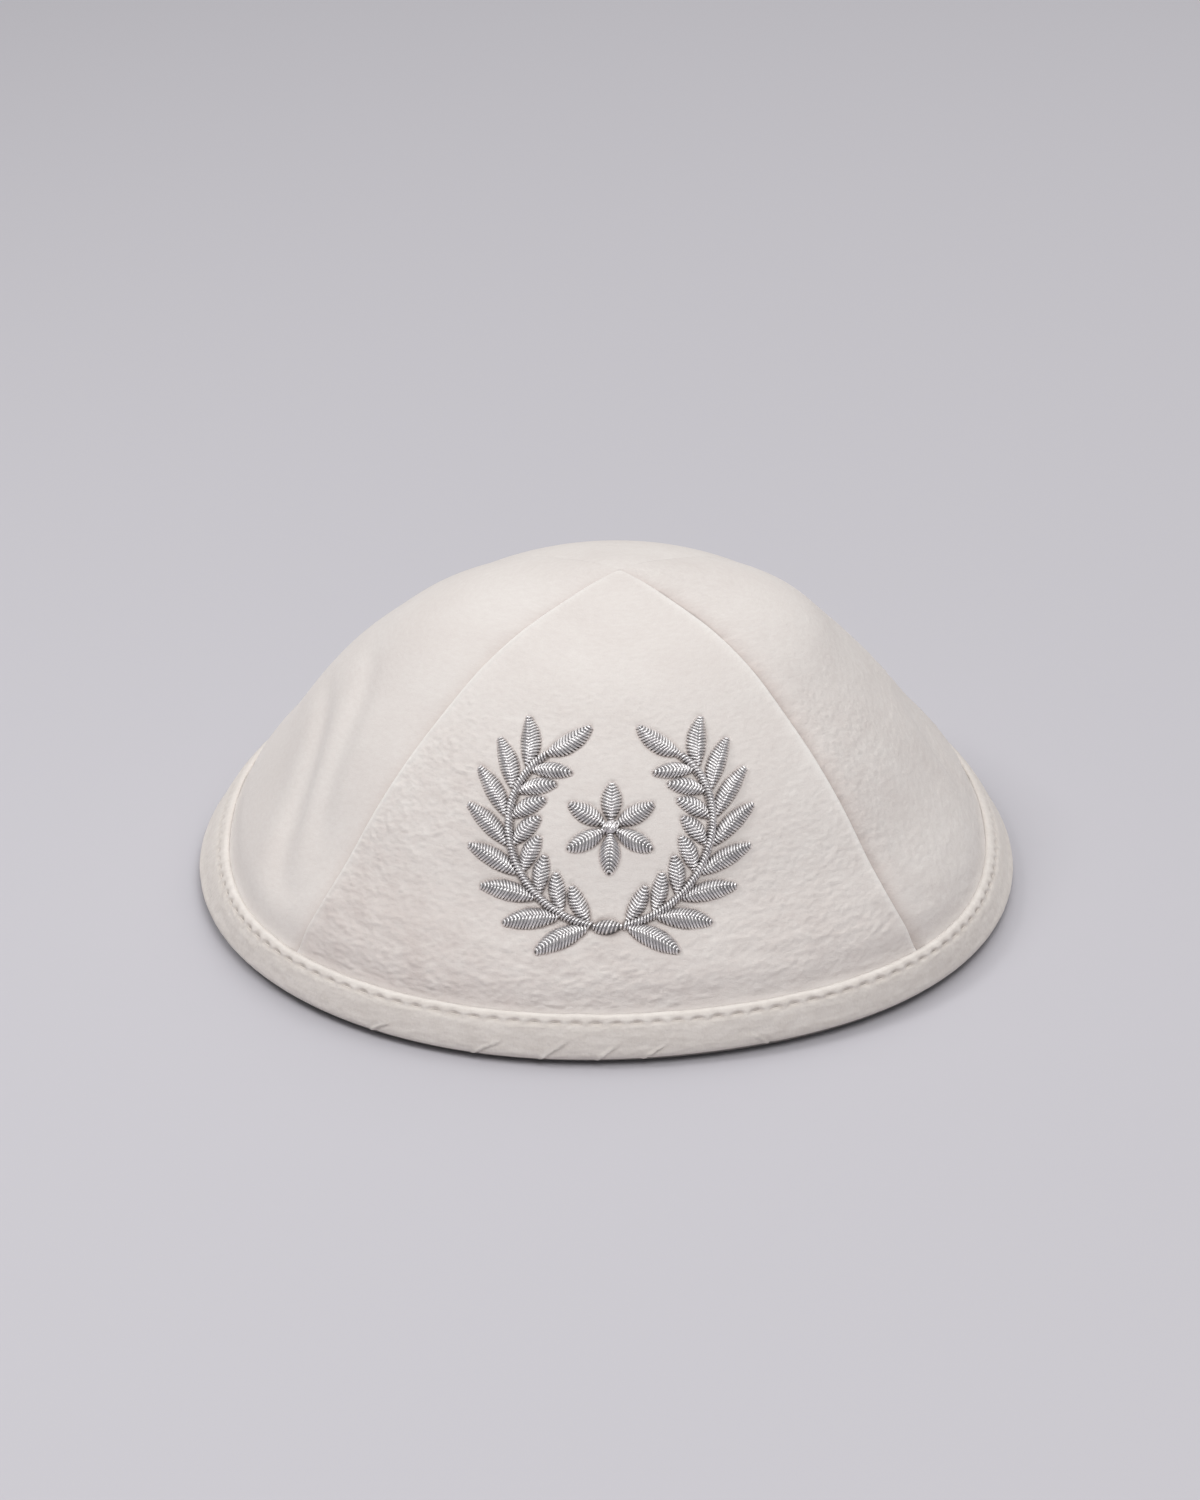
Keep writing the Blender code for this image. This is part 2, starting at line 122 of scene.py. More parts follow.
def on_dome(azimuth, along, lift):
    """Points at a lift off the smooth dome, and the outward directions there."""
    azimuth, along, lift = np.broadcast_arrays(*(np.asarray(v, float) for v in (azimuth, along, lift)))
    step = SEAM_LENGTH / 1000
    height, reach = dome_reach(azimuth, along)
    higher, narrower = dome_reach(azimuth, np.minimum(along + step, SEAM_LENGTH))
    lower, wider = dome_reach(azimuth, np.maximum(along - step, 0))
    rise, run = higher - lower, (wider - narrower) * np.clip(along / (9 * CLOTH_WALL), 0, 1)
    length = np.hypot(rise, run)
    height, reach = height + lift * run / length, reach + lift * rise / length
    angle = np.radians(azimuth)
    shift = TIP_SHIFT * ((height - HEM_HEIGHT) / (TIP_HEIGHT - HEM_HEIGHT)) ** 2
    points = np.stack([reach * np.sin(angle) + shift, -reach * np.cos(angle), height], axis=-1)
    outwards = np.stack([rise * np.sin(angle), -rise * np.cos(angle), run], axis=-1) / length[..., None]
    return points, outwards


# The cloth's relief: folds first, then the seams, then the dip above the binding

FOLDS = {
    # depth and half width in metres, then azimuth and height share at places along the fold
    "left": (
        (0.0011, 0.0031, (-101, 0.57), (-81, 0.60), (-71, 0.52), (-66, 0.38), (-57, 0.30), (-50, 0.24)),
        (0.0008, 0.0029, (-94, 0.73), (-75, 0.71), (-66, 0.62), (-59, 0.48), (-51, 0.37)),
    ),
    "right": ((0.0008, 0.0056, (99, 0.54), (92, 0.36), (84, 0.16)),),
}
FOLD_POINTS = 70
FOLD_LEAN, FOLD_FULLNESS = 1.25, 0.6
# The ridge's height as a share of the fold's depth, and its place and width as shares of the fold's width
RIDGE_HEIGHT, RIDGE_PLACE, RIDGE_WIDTH = 0.3, 1.9, 1.3


def fold_relief(quarter, across, along):
    """Valleys with a soft ridge on their lower side."""
    relief = np.zeros(across.shape)
    for depth, width, *places in FOLDS.get(quarter, ()):
        share = np.linspace(0, 1, FOLD_POINTS)
        degree = min(3, len(places) - 1)
        stations = np.linspace(0, 1, len(places))
        azimuth, height = (
            np.polyval(np.polyfit(stations, column, degree), share) for column in zip(*places)
        )
        height = HEM_HEIGHT + height * (TIP_HEIGHT - HEM_HEIGHT)
        fold_along = np.interp(height, SECTIONS[:-1, 0], PLACES[:-1])
        centre = (QUARTERS[quarter] + 180) % 360 - 180
        fold_across = dome_reach(azimuth, fold_along)[1] * np.radians(azimuth - centre)
        tangent = np.stack([np.gradient(fold_across), np.gradient(fold_along)])
        tangent /= np.linalg.norm(tangent, axis=0)
        strength = np.clip(np.sin(math.pi * share**FOLD_LEAN), 0, 1) ** FOLD_FULLNESS
        for row in range(len(across)):
            dx = across[row][:, None] - fold_across
            dy = along[row][:, None] - fold_along
            near = np.argmin(dx**2 + dy**2, axis=1)
            pick = np.arange(len(near)), near
            aside = tangent[0][near] * dy[pick] - tangent[1][near] * dx[pick]
            away = np.hypot(dx[pick], dy[pick])
            fade = strength[near] * np.exp(-((np.maximum(away - np.abs(aside), 0) / width) ** 2))
            valley = np.exp(-((aside / width) ** 2))
            off_ridge = (aside + RIDGE_PLACE * width) / (RIDGE_WIDTH * width)
            ridge = RIDGE_HEIGHT * np.exp(-(off_ridge**2))
            relief[row] += depth * fade * (ridge - valley)
    return relief


SEAM_STYLES = {
    # lip height, lip place, lip width, groove depth, groove width, valley depth, valley width
    "over": (0.00042, 0.00060, 0.00048, 0.00045, 0.00012, 0.0, 0.001),
    "under": (0.00010, 0.0045, 0.0018, 0.0007, 0.00030, 0.00075, 0.0020),
    "pulled": (0.00016, 0.0056, 0.0026, 0.0008, 0.00040, 0.00105, 0.0025),
    "level": (0.00006, 0.002, 0.001, 0.0004, 0.00016, 0.00010, 0.0020),
}
# How much shade is painted into the nap beside the seam, and over what width. A rolled edge gets a painted
# highlight instead.
SEAM_PAINTED_LIGHT_AND_SHADE = {
    "over": (-2.0, 0.0007), "under": (1.1, 0.0012), "pulled": (2.0, 0.0017), "level": (0.8, 0.0005)
}
# A seam's relief and its painted shade grow over these shares of its length, counted down from the tip.
LEVEL_GROWTH = (0.35, 0.75)
RELIEF_GROWTH = (0.05, 0.35)
PAINTED_SHADE_GROWTH = (-0.10, 0.20)
LEAST_RELIEF = 0.3
PINCH_SPACING = 0.0105
PINCH_DEPTH = 0.00030
PINCH_REACH = 0.0026
PINCH_WANDER = (
    # share of the spacing, waves in radians for each metre, start
    (0.22, 310, 0.0),
    (0.16, 731, 1.3),
)


def seam_relief(style, away, along):
    """A rolled edge that turns down into the seam, dented where a pulled seam's stitches pinch it."""
    lip, place, lip_width, groove, groove_width, valley, valley_width = SEAM_STYLES[style]
    level = style == "level"
    fade = smooth_step(*(LEVEL_GROWTH if level else RELIEF_GROWTH), 1 - along / SEAM_LENGTH)
    least = 0.0 if level else LEAST_RELIEF
    relief = lip * np.exp(-(((away - place) / lip_width) ** 2)) - groove * np.exp(-away / groove_width)
    relief = relief * (least + (1 - least) * fade) - valley * np.exp(-((away / valley_width) ** 2)) * fade
    if style == "pulled":
        wander = sum(share * np.sin(along * waves + start) for share, waves, start in PINCH_WANDER)
        pull = (0.5 + 0.5 * np.cos(2 * math.pi * (along / PINCH_SPACING + wander))) ** 3
        relief -= PINCH_DEPTH * pull * np.exp(-((away / PINCH_REACH) ** 2))
    return relief


SEAM_SIDES = {
    # left seam, right seam, seen from outside
    "front": ("over", "over"),
    "right": ("pulled", "level"),
    "back": ("level", "level"),
    "left": ("level", "under"),
}
# The front seams run outwards near the hem, by degrees at a quarter's left and right edge.
HEM_TURNS = {"front": (-1.2, 2.0), "right": (2.0, 0), "back": (0, 0), "left": (0, -1.2)}
HEM_TURN_REACH = 0.022
HEM_TUCK = 0.0026
HEM_DIP_DEPTH = 0.00085
HEM_DIP_PLACE = 0.0094
HEM_DIP_BELOW, HEM_DIP_ABOVE = 0.0016, 0.0034


def hem_dip(along):
    """The cloth sinks behind the binding's lip and bulges out again above it."""
    away = along - HEM_DIP_PLACE
    return -HEM_DIP_DEPTH * np.exp(-((away / np.where(away < 0, HEM_DIP_BELOW, HEM_DIP_ABOVE)) ** 2))


FRONT_ROWS, FRONT_COLUMNS = 284, 308
OTHER_ROWS, OTHER_COLUMNS = 208, 224
ROW_CROWDING = 1.15
LINING_STEP = 4
SEAM_STEPS = (0.0, 0.00012, 0.00025, 0.0004, 0.0006, 0.00085, 0.00115, 0.0015)
SEAM_MEETING = 0.00001
WREATH_PLACE = float(np.interp(0.037, SECTIONS[:-1, 0], PLACES[:-1]))
TIP_CALM = 0.008
RIPPLED = {"front": 1.0, "right": 0.5, "back": 0.4, "left": 0.08}
CALM_RIPPLE = 0.18
# From where to where, along the cloth from the hem, these fade out
RIPPLE_FADE = (0.035, 0.085)
PUCKER_FADE = (0.013, 0.032)
HEM_PAINTED_SHADE_FADE = (0.012, 0.035)
LEFT_PAINTED_SHADE_FADE = (0.015, 0.050)
# And where the relief starts, past the binding's lip and beside a seam
PAST_LIP = (0.0084, 0.0100)
PAST_SEAM = (0.0002, 0.0014)


def paint(mesh, name, values):
    """Stores a number for each of the first points of a mesh, and 0 for the rest."""
    full = np.zeros(len(mesh.vertices))
    full[: values.size] = values.ravel()
    mesh.attributes.new(name, "FLOAT", "POINT").data.foreach_set("value", full)


def quarter_columns(azimuth_count, reach):
    """Angles from a quarter's middle: steps of set length beside both seams, even ones between."""
    width = reach * math.pi / 4
    steps = np.array(SEAM_STEPS) * min(1, width / 3 / SEAM_STEPS[-1]) + min(SEAM_MEETING, width / 9)
    beside = np.degrees(steps / reach)
    between = np.linspace(beside[-1] - 45, 45 - beside[-1], azimuth_count + 1 - 2 * (len(steps) - 1))
    return np.concatenate([beside[:-1] - 45, between, 45 - beside[-2::-1]])


def quarter_mesh(quarter, row_count, column_count):
    """A closed shell: a fine outer face, and an inner face and edges a wall below it."""
    centre = QUARTERS[quarter]
    along = HEM_TUCK + (SEAM_LENGTH - HEM_TUCK) * np.linspace(0, 1, row_count + 1)[:-1] ** ROW_CROWDING
    seam_reach = dome_reach(np.full(row_count, 45.0), along)[1]
    from_middle = np.stack([quarter_columns(column_count, reach) for reach in seam_reach])
    along = np.repeat(along[:, None], column_count + 1, axis=1)
    turn_left, turn_right = HEM_TURNS[quarter]
    turn = turn_left + (turn_right - turn_left) * (from_middle / 90 + 0.5)
    angle = from_middle + turn * (1 - smooth_step(0, HEM_TURN_REACH, along))
    reach = dome_reach(centre + angle, along)[1]
    across = reach * np.radians(angle)
    to_left, to_right = reach * np.radians(from_middle + 45), reach * np.radians(45 - from_middle)

    folds = fold_relief(quarter, across, along)
    left_style, right_style = SEAM_SIDES[quarter]
    seams = seam_relief(left_style, to_left, along) + seam_relief(right_style, to_right, along)
    seams *= np.clip(reach / TIP_CALM, 0, 1)
    dip = hem_dip(along)
    relief = folds + seams + dip

    tip_angle = math.radians(centre)
    tip_offset = SEAM_MEETING * np.array([math.sin(tip_angle), -math.cos(tip_angle), 0])
    outer = on_dome(centre + angle, along, relief)[0].reshape(-1, 3)
    outer_tip = on_dome(centre, SEAM_LENGTH, -SEAM_MEETING)[0] + tip_offset
    coarse = np.s_[::LINING_STEP, ::LINING_STEP]
    lining_lift = (folds + dip / 2 - CLOTH_WALL)[coarse]
    inner = on_dome((centre + angle)[coarse], along[coarse], lining_lift)[0]
    inner_rows, inner_columns = inner.shape[:2]
    inner_tip = on_dome(centre, SEAM_LENGTH, -CLOTH_WALL)[0] + tip_offset
    points = np.vstack([outer, [outer_tip], inner.reshape(-1, 3), [inner_tip]])

    faces = []
    grid = np.arange(len(outer)).reshape(along.shape)
    top = len(outer)
    lining = top + 1 + np.arange(inner_rows * inner_columns).reshape(inner_rows, inner_columns)
    lining_top = len(points) - 1
    quads = np.stack([grid[:-1, :-1], grid[:-1, 1:], grid[1:, 1:], grid[1:, :-1]], axis=-1)
    faces.extend(quads.reshape(-1, 4).tolist())
    quads = np.stack([lining[:-1, :-1], lining[1:, :-1], lining[1:, 1:], lining[:-1, 1:]], axis=-1)
    faces.extend(quads.reshape(-1, 4).tolist())
    faces.extend([int(a), int(b), top] for a, b in zip(grid[-1, :-1], grid[-1, 1:]))
    faces.extend([int(b), int(a), lining_top] for a, b in zip(lining[-1, :-1], lining[-1, 1:]))
    step = LINING_STEP
    for j in range(inner_columns - 1):
        rim = grid[0, j * step : (j + 1) * step + 1][::-1].tolist()
        faces.append([*rim, int(lining[0, j]), int(lining[0, j + 1])])
    left, right = grid[:, 0].tolist() + [top], grid[:, -1].tolist() + [top]
    lining_left = lining[:, 0].tolist() + [lining_top]
    lining_right = lining[:, -1].tolist() + [lining_top]
    for i in range(inner_rows):
        run = slice(i * step, (i + 1) * step + 1)
        faces.append([*left[run], lining_left[i + 1], lining_left[i]])
        faces.append([*right[run][::-1], lining_right[i], lining_right[i + 1]])

    mesh = bpy.data.meshes.new(f"quarter_{quarter}")
    mesh.from_pydata(points.tolist(), [], faces)
    seed = list(QUARTERS).index(quarter) * 7.3
    lining_across, lining_along = across[coarse].ravel(), along[coarse].ravel()
    cloth = np.stack([
        np.concatenate([across.ravel(), [0], lining_across, [0]]),
        np.concatenate([along.ravel(), [SEAM_LENGTH], lining_along, [SEAM_LENGTH]]),
        np.full(len(points), seed),
    ], axis=-1)
    mesh.attributes.new("cloth", "FLOAT_VECTOR", "POINT").data.foreach_set("vector", cloth.ravel())

    to_seam = np.minimum(to_left, to_right)
    strength = CALM_RIPPLE + (1 - CALM_RIPPLE) * (1 - smooth_step(*RIPPLE_FADE, along))
    if quarter == "right":
        strength += 0.9 * np.exp(-to_left / 0.014) * smooth_step(0.02, 0.04, along)
    if quarter == "front":
        strength *= 1.15 - 0.50 * smooth_step(-0.015, 0.035, across)
        over_wreath = np.hypot(across / 0.025, (along - WREATH_PLACE) / 0.020)
        strength *= 1 - 0.65 * np.exp(-(over_wreath**4))
    strength *= 0.78 + 0.22 * np.sin(95 * across + 1.2) * np.sin(120 * along + 55 * across)
    showing = smooth_step(*PAST_LIP, along) * smooth_step(*PAST_SEAM, to_seam)
    paint(mesh, "ripple", RIPPLED[quarter] * showing * strength)
    paint(mesh, "pucker", RIPPLED[quarter] * showing * (1 - smooth_step(*PUCKER_FADE, along)))
    # The edge attribute is painted light and shade: a highlight on rolled edges, painted shade in the grooves
    # and valleys beside the seams.
    edge = np.zeros(along.shape)
    for style, away in ((left_style, to_left), (right_style, to_right)):
        shade, width = SEAM_PAINTED_LIGHT_AND_SHADE[style]
        growth = LEVEL_GROWTH if style == "level" else PAINTED_SHADE_GROWTH
        edge -= shade * smooth_step(*growth, 1 - along / SEAM_LENGTH) * np.exp(-away / width)
    # Painted shade on the front quarter, darker towards the hem and more so at its lower left.
    if quarter == "front":
        on_left = 1 - smooth_step(-0.040, -0.005, across)
        edge -= 0.25 * (1 - smooth_step(*HEM_PAINTED_SHADE_FADE, along))
        edge -= 0.40 * (1 - smooth_step(*LEFT_PAINTED_SHADE_FADE, along)) * on_left
    paint(mesh, "edge", edge)
    return mesh


class Wire:
    """A socket of a node tree that takes part in Python expressions."""

    def __init__(self, tree, socket=None):
        self.tree = tree
        self.socket = socket

    def node(self, kind, settings, inputs, output=0):
        """Adds a node: its settings first, then values or links for its sockets, and gives one output."""
        made = self.tree.nodes.new(kind)
        for name, value in settings.items():
            setattr(made, name, value)
        for name, value in inputs.items():
            socket = self.find(made.inputs, name)
            if isinstance(value, Wire):
                self.tree.links.new(value.socket, socket)
            else:
                socket.default_value = value
        return Wire(self.tree, self.find(made.outputs, output))

    @staticmethod
    def find(sockets, name):
        if isinstance(name, int):
            return sockets[name]
        return next(s for s in sockets if name in (s.identifier, s.name))

    def math(self, operation, a, b):
        return self.node("ShaderNodeMath", {"operation": operation}, {0: a, 1: b})

    def __add__(self, other):
        return self.math("ADD", self, other)

    def __sub__(self, other):
        return self.math("SUBTRACT", self, other)

    def __rsub__(self, other):
        return self.math("SUBTRACT", other, self)

    def __mul__(self, other):
        return self.math("MULTIPLY", self, other)

    def __rtruediv__(self, other):
        return self.math("DIVIDE", other, self)

    __radd__ = __add__
    __rmul__ = __mul__


def new_tree(name, sockets):
    """A geometry node tree with named inputs, as the tree and a wire for each input."""
    tree = bpy.data.node_groups.new(name, "GeometryNodeTree")
    tree.interface.new_socket("Geometry", in_out="OUTPUT", socket_type="NodeSocketGeometry")
    tree.interface.new_socket("Geometry", in_out="INPUT", socket_type="NodeSocketGeometry")
    for socket, kind in sockets.items():
        tree.interface.new_socket(socket, in_out="INPUT", socket_type=f"NodeSocket{kind}")
    group = tree.nodes.new("NodeGroupInput")
    return tree, {socket.name: Wire(tree, socket) for socket in group.outputs if socket.name}


def end_tree(tree, geometry, material):
    """Closes a tree: smooth shading, instances made real and the material set."""
    shaded = geometry.node("GeometryNodeSetShadeSmooth", {}, {"Geometry": geometry})
    real = geometry.node("GeometryNodeRealizeInstances", {}, {"Geometry": shaded})
    painted = geometry.node("GeometryNodeSetMaterial", {}, {"Geometry": real, "Material": material})
    output = tree.nodes.new("NodeGroupOutput")
    tree.links.new(painted.socket, output.inputs[0])


def run_tree(name, mesh, tree, settings):
    """Runs a tree on a mesh and gives the plain object that comes out."""
    piece = bpy.data.objects.new(name, mesh)
    bpy.context.scene.collection.objects.link(piece)
    modifier = piece.modifiers.new("make", "NODES")
    modifier.node_group = tree
    for item in tree.interface.items_tree:
        if item.in_out == "INPUT" and item.name in settings:
            modifier[item.identifier] = settings[item.name]
    depsgraph = bpy.context.evaluated_depsgraph_get()
    evaluated = piece.evaluated_get(depsgraph)
    made = bpy.data.meshes.new_from_object(evaluated, preserve_all_data_layers=True, depsgraph=depsgraph)
    piece.modifiers.remove(modifier)
    piece.data = made
    made.name = name
    return piece


def ripple_tree():
    """Moves a cloth's points along its normals, by fine ripples that run across it and by broader puckers."""
    tree, given = new_tree("cloth_ripples", {
        "Ripple Height": "Float", "Ripple Spacing": "Float", "Ripple Stretch": "Float",
        "Pucker Height": "Float", "Pucker Spacing": "Float", "Material": "Material",
    })
    start = given["Geometry"]

    def attribute(name, kind):
        return start.node("GeometryNodeInputNamedAttribute", {"data_type": kind}, {"Name": name}, "Attribute")

    def waves(spacing, stretch, detail, bend):
        per_metre = 1 / spacing
        size = start.node("ShaderNodeCombineXYZ", {},
                          {"X": per_metre * (1 / stretch), "Y": per_metre, "Z": 1.0})
        place = start.node("ShaderNodeVectorMath", {"operation": "MULTIPLY"}, {0: cloth, 1: size})
        settings = {"Vector": place, "Scale": 1.0, "Detail": detail, "Roughness": 0.5, "Distortion": bend}
        return start.node("ShaderNodeTexNoise", {}, settings, 0) - 0.5

    cloth = attribute("cloth", "FLOAT_VECTOR")
    rounds = waves(given["Ripple Spacing"], given["Ripple Stretch"], 0.6, 0.9)
    ripples = rounds.math("ABSOLUTE", rounds, 0.0) * 4 - 0.5
    puckers = waves(given["Pucker Spacing"], given["Ripple Stretch"], 1.0, 0.3) * 2
    height = ripples * attribute("ripple", "FLOAT") * given["Ripple Height"]
    height = height + puckers * attribute("pucker", "FLOAT") * given["Pucker Height"]
    normal = start.node("GeometryNodeInputNormal", {}, {})
    offset = start.node("ShaderNodeVectorMath", {"operation": "SCALE"}, {"Vector": normal, "Scale": height})
    moved = start.node("GeometryNodeSetPosition", {}, {"Geometry": start, "Offset": offset})
    end_tree(tree, moved, given["Material"])
    return tree


# The dark colour that the painted shade goes to where the edge attribute falls below -1.
PAINTED_SHADE_COLOUR = (0.20, 0.18, 0.17, 1)


def velour(name, pale, deep):
    """Short napped cloth: a matt body with a pale sheen, clouded where the nap lies another way, with painted
    light and shade.
    """
    material = bpy.data.materials.new(name)
    material.use_nodes = True
    tree = material.node_tree
    shader = tree.nodes["Principled BSDF"]
    base = Wire(tree)
    cloth = base.node("ShaderNodeAttribute", {"attribute_name": "cloth"}, {}, "Vector")

    def mottle(size, stretch, detail):
        scaled = base.node("ShaderNodeVectorMath", {"operation": "MULTIPLY"},
                           {0: cloth, 1: (1 / (size * stretch), 1 / size, 1.0)})
        return base.node("ShaderNodeTexNoise", {}, {"Vector": scaled, "Scale": 1.0, "Detail": detail}, 0)

    clouds = mottle(0.014, 1.3, 2.0)
    tufts = mottle(0.0028, 1.6, 2.0)
    nap = mottle(0.0009, 1.8, 2.0)
    fibre = mottle(0.00025, 1.4, 2.0)
    rippled = base.node("ShaderNodeAttribute", {"attribute_name": "ripple"}, {}, "Fac")
    edge = base.node("ShaderNodeAttribute", {"attribute_name": "edge"}, {}, "Fac")
    # The edge attribute paints light and shade into the nap's colour: above 0 a paler highlight, below 0
    # deeper shade.
    depth = (clouds - 0.5) * 0.35 + (nap - 0.5) * 0.30 + (fibre - 0.5) * 0.30 + 0.40 - edge * 0.4
    # Where the cloth is rippled its tone is clouded more, and it is painted a little deeper as shade.
    depth = depth + ((tufts - 0.5) * 0.6 + 0.06) * rippled
    nap_and_painted_light_colour = base.node("ShaderNodeMix", {"data_type": "RGBA"},
                           {"Factor_Float": depth, "A_Color": pale, "B_Color": deep}, "Result_Color")
    # Below -1 the painted shade goes on towards a dark colour.
    shaded = {"Factor_Float": -1.0 - edge, "A_Color": nap_and_painted_light_colour, "B_Color": PAINTED_SHADE_COLOUR}
    colour = base.node("ShaderNodeMix", {"data_type": "RGBA"}, shaded, "Result_Color")
    height = fibre * 0.3 + nap * (rippled + 0.25)
    bump = base.node("ShaderNodeBump", {}, {"Strength": 0.6, "Distance": 0.00025, "Height": height})
    tree.links.new(colour.socket, shader.inputs["Base Color"])
    tree.links.new(bump.socket, shader.inputs["Normal"])
    shader.inputs["Roughness"].default_value = 0.92
    shader.inputs["Specular IOR Level"].default_value = 0.2
    shader.inputs["Sheen Weight"].default_value = 0.30
    shader.inputs["Sheen Roughness"].default_value = 0.45
    shader.inputs["Sheen Tint"].default_value = (1.0, 0.97, 0.94, 1)
    return material


RIPPLES = ripple_tree()
PANEL_VELOUR = velour("panel_velour", (0.855, 0.82, 0.785, 1), (0.61, 0.535, 0.505, 1))

for quarter in QUARTERS:
    fine = quarter == "front"
    mesh = quarter_mesh(
        quarter, FRONT_ROWS if fine else OTHER_ROWS, FRONT_COLUMNS if fine else OTHER_COLUMNS
    )
    piece = run_tree(f"quarter_{quarter}", mesh, RIPPLES, {
        "Ripple Height": 0.00042, "Ripple Spacing": 0.0011, "Ripple Stretch": 2.5,
        "Pucker Height": 0.00042, "Pucker Spacing": 0.0033, "Material": PANEL_VELOUR,
    })
    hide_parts(f"panel_{quarter}")
    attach(piece, "root")


# Rim binding. One strip of the same velour, folded lengthwise round the hem of the quarters and topstitched
# through all of them close to its upper edge. The stitches pull a groove, and the cloth above it stands up
# as a rolled lip, lit bright and brightened more by a painted highlight along its top. The fold underneath is
# pressed flat where the cap rests on it.

BINDING_WALL = 0.0011
BINDING_CLEARANCE = 0.0003
GROOVE_SHARE = 0.855
BINDING_SECTION = (
    # side of the hem, height share, cover as a share of the wall, steps to the next point
    ("outer", 0.000, -0.60, 2),
    ("outer", 0.004, -0.10, 2),
    ("outer", 0.012, 0.48, 3),
    ("outer", 0.050, 1.00, 3),
    ("outer", 0.120, 1.24, 3),
    ("outer", 0.240, 1.30, 3),
    ("outer", 0.420, 1.27, 3),
    ("outer", 0.600, 1.16, 4),
    ("outer", 0.740, 1.02, 3),
    ("outer", 0.800, 0.94, 4),
    ("outer", 0.850, 0.88, 4),
    ("outer", 0.895, 0.90, 4),
    ("outer", 0.950, 0.92, 4),
    ("outer", 0.985, 0.76, 3),
    ("outer", 1.000, 0.34, 3),
    ("outer", 0.985, -0.05, 2),
    ("outer", 0.940, -0.18, 2),
    ("outer", 0.500, 0.00, 1),
    ("outer", 0.150, 0.00, 1),
    ("inner", 0.150, 0.00, 1),
    ("inner", 0.500, 0.00, 2),
    ("inner", 0.900, 0.03, 1),
    ("inner", 0.945, 0.50, 2),
    ("inner", 0.880, 0.95, 2),
    ("inner", 0.500, 1.02, 1),
    ("inner", 0.160, 0.90, 2),
    ("inner", 0.020, 0.68, 2),
    ("inner", 0.000, 0.30, 2),
    ("inner", 0.000, -0.60, 2),
)
STITCH_PITCH = 0.0039
RIM_LENGTH = 0.536
STITCH_COUNT = round(RIM_LENGTH / STITCH_PITCH)
RIM_STEPS = 10 * STITCH_COUNT
POCKET_DEPTH = 0.00050
POCKET_HEIGHTS = (0.00020, 0.00055)
SCALLOP = 0.00018
UNDERSIDE_RISE = 0.0019
# The rise is less round one azimuth at the front.
LESS_RISE, LESS_RISE_AZIMUTH, LESS_RISE_SPREAD = 0.30, -12, 25
SWELL, DRAG, SWELL_REACH, DRAG_LENGTH = 0.00009, 0.00004, 0.0014, 0.0058
LIP_SWELL, LIP_WAVE, LIP_DROP = 0.00006, 0.00008, 0.012
TRACK_DEPTH, TRACK_WIDTH = 0.0001, 0.0004
# The painted shade along the pockets' lower border: its place below the groove and its width.
BORDER_PLACE, BORDER_WIDTH = 0.00008, 0.00014
RIM_WAVES = (
    # size, waves round the rim, start
    (0.5, 37, 0.4),
    (0.3, 61, 2.0),
    (0.4, 23, 1.1),
)
CREASES = (
    # azimuth in degrees at the fold, slant in degrees for each millimetre up, height share where it ends
    (-17.0, 0.75, 0.62),
    (-8.4, 0.60, 0.66),
    (-1.2, 0.55, 0.55),
    (4.6, 0.70, 0.50),
    (21.0, -0.50, 0.45),
    (-31.0, 0.65, 0.50),
)
CREASE_HEIGHT = 0.00036
CREASE_WIDTH = 0.28


def hem_reach(azimuth, height, inner):
    """How far the hem's outer or inner face is from the axis, for each azimuth and each height."""
    along = np.linspace(0, SEAM_LENGTH / 6, 30)
    lift = hem_dip(along) / 2 - CLOTH_WALL if inner else hem_dip(along)
    points = on_dome(azimuth[:, None], along[None, :], lift)[0]
    reach = np.hypot(points[..., 0], points[..., 1])
    return np.stack([np.interp(height, points[i, :, 2], reach[i]) for i in range(len(azimuth))])


def section_curve(rows):
    """A smooth closed line through the section's points: height share, cover and side as columns."""
    knots = np.array([(share, cover, side == "inner") for side, share, cover, _ in rows], float)
    line = []
    for i, (*_, steps) in enumerate(rows):
        before, here, there, after = (knots[(i + k) % len(knots)] for k in (-1, 0, 1, 2))
        if here[2] != there[2]:
            line.extend([here * (1 - k / steps) + there * (k / steps) for k in range(steps)])
            continue
        leave = (there - before) / 2 if before[2] == here[2] else there - here
        arrive = (after - here) / 2 if after[2] == there[2] else there - here
        for k in range(steps):
            t = k / steps
            line.append(
                (2 * t**3 - 3 * t**2 + 1) * here + (t**3 - 2 * t**2 + t) * leave
                + (3 * t**2 - 2 * t**3) * there + (t**3 - t**2) * arrive
            )
    return np.array(line)


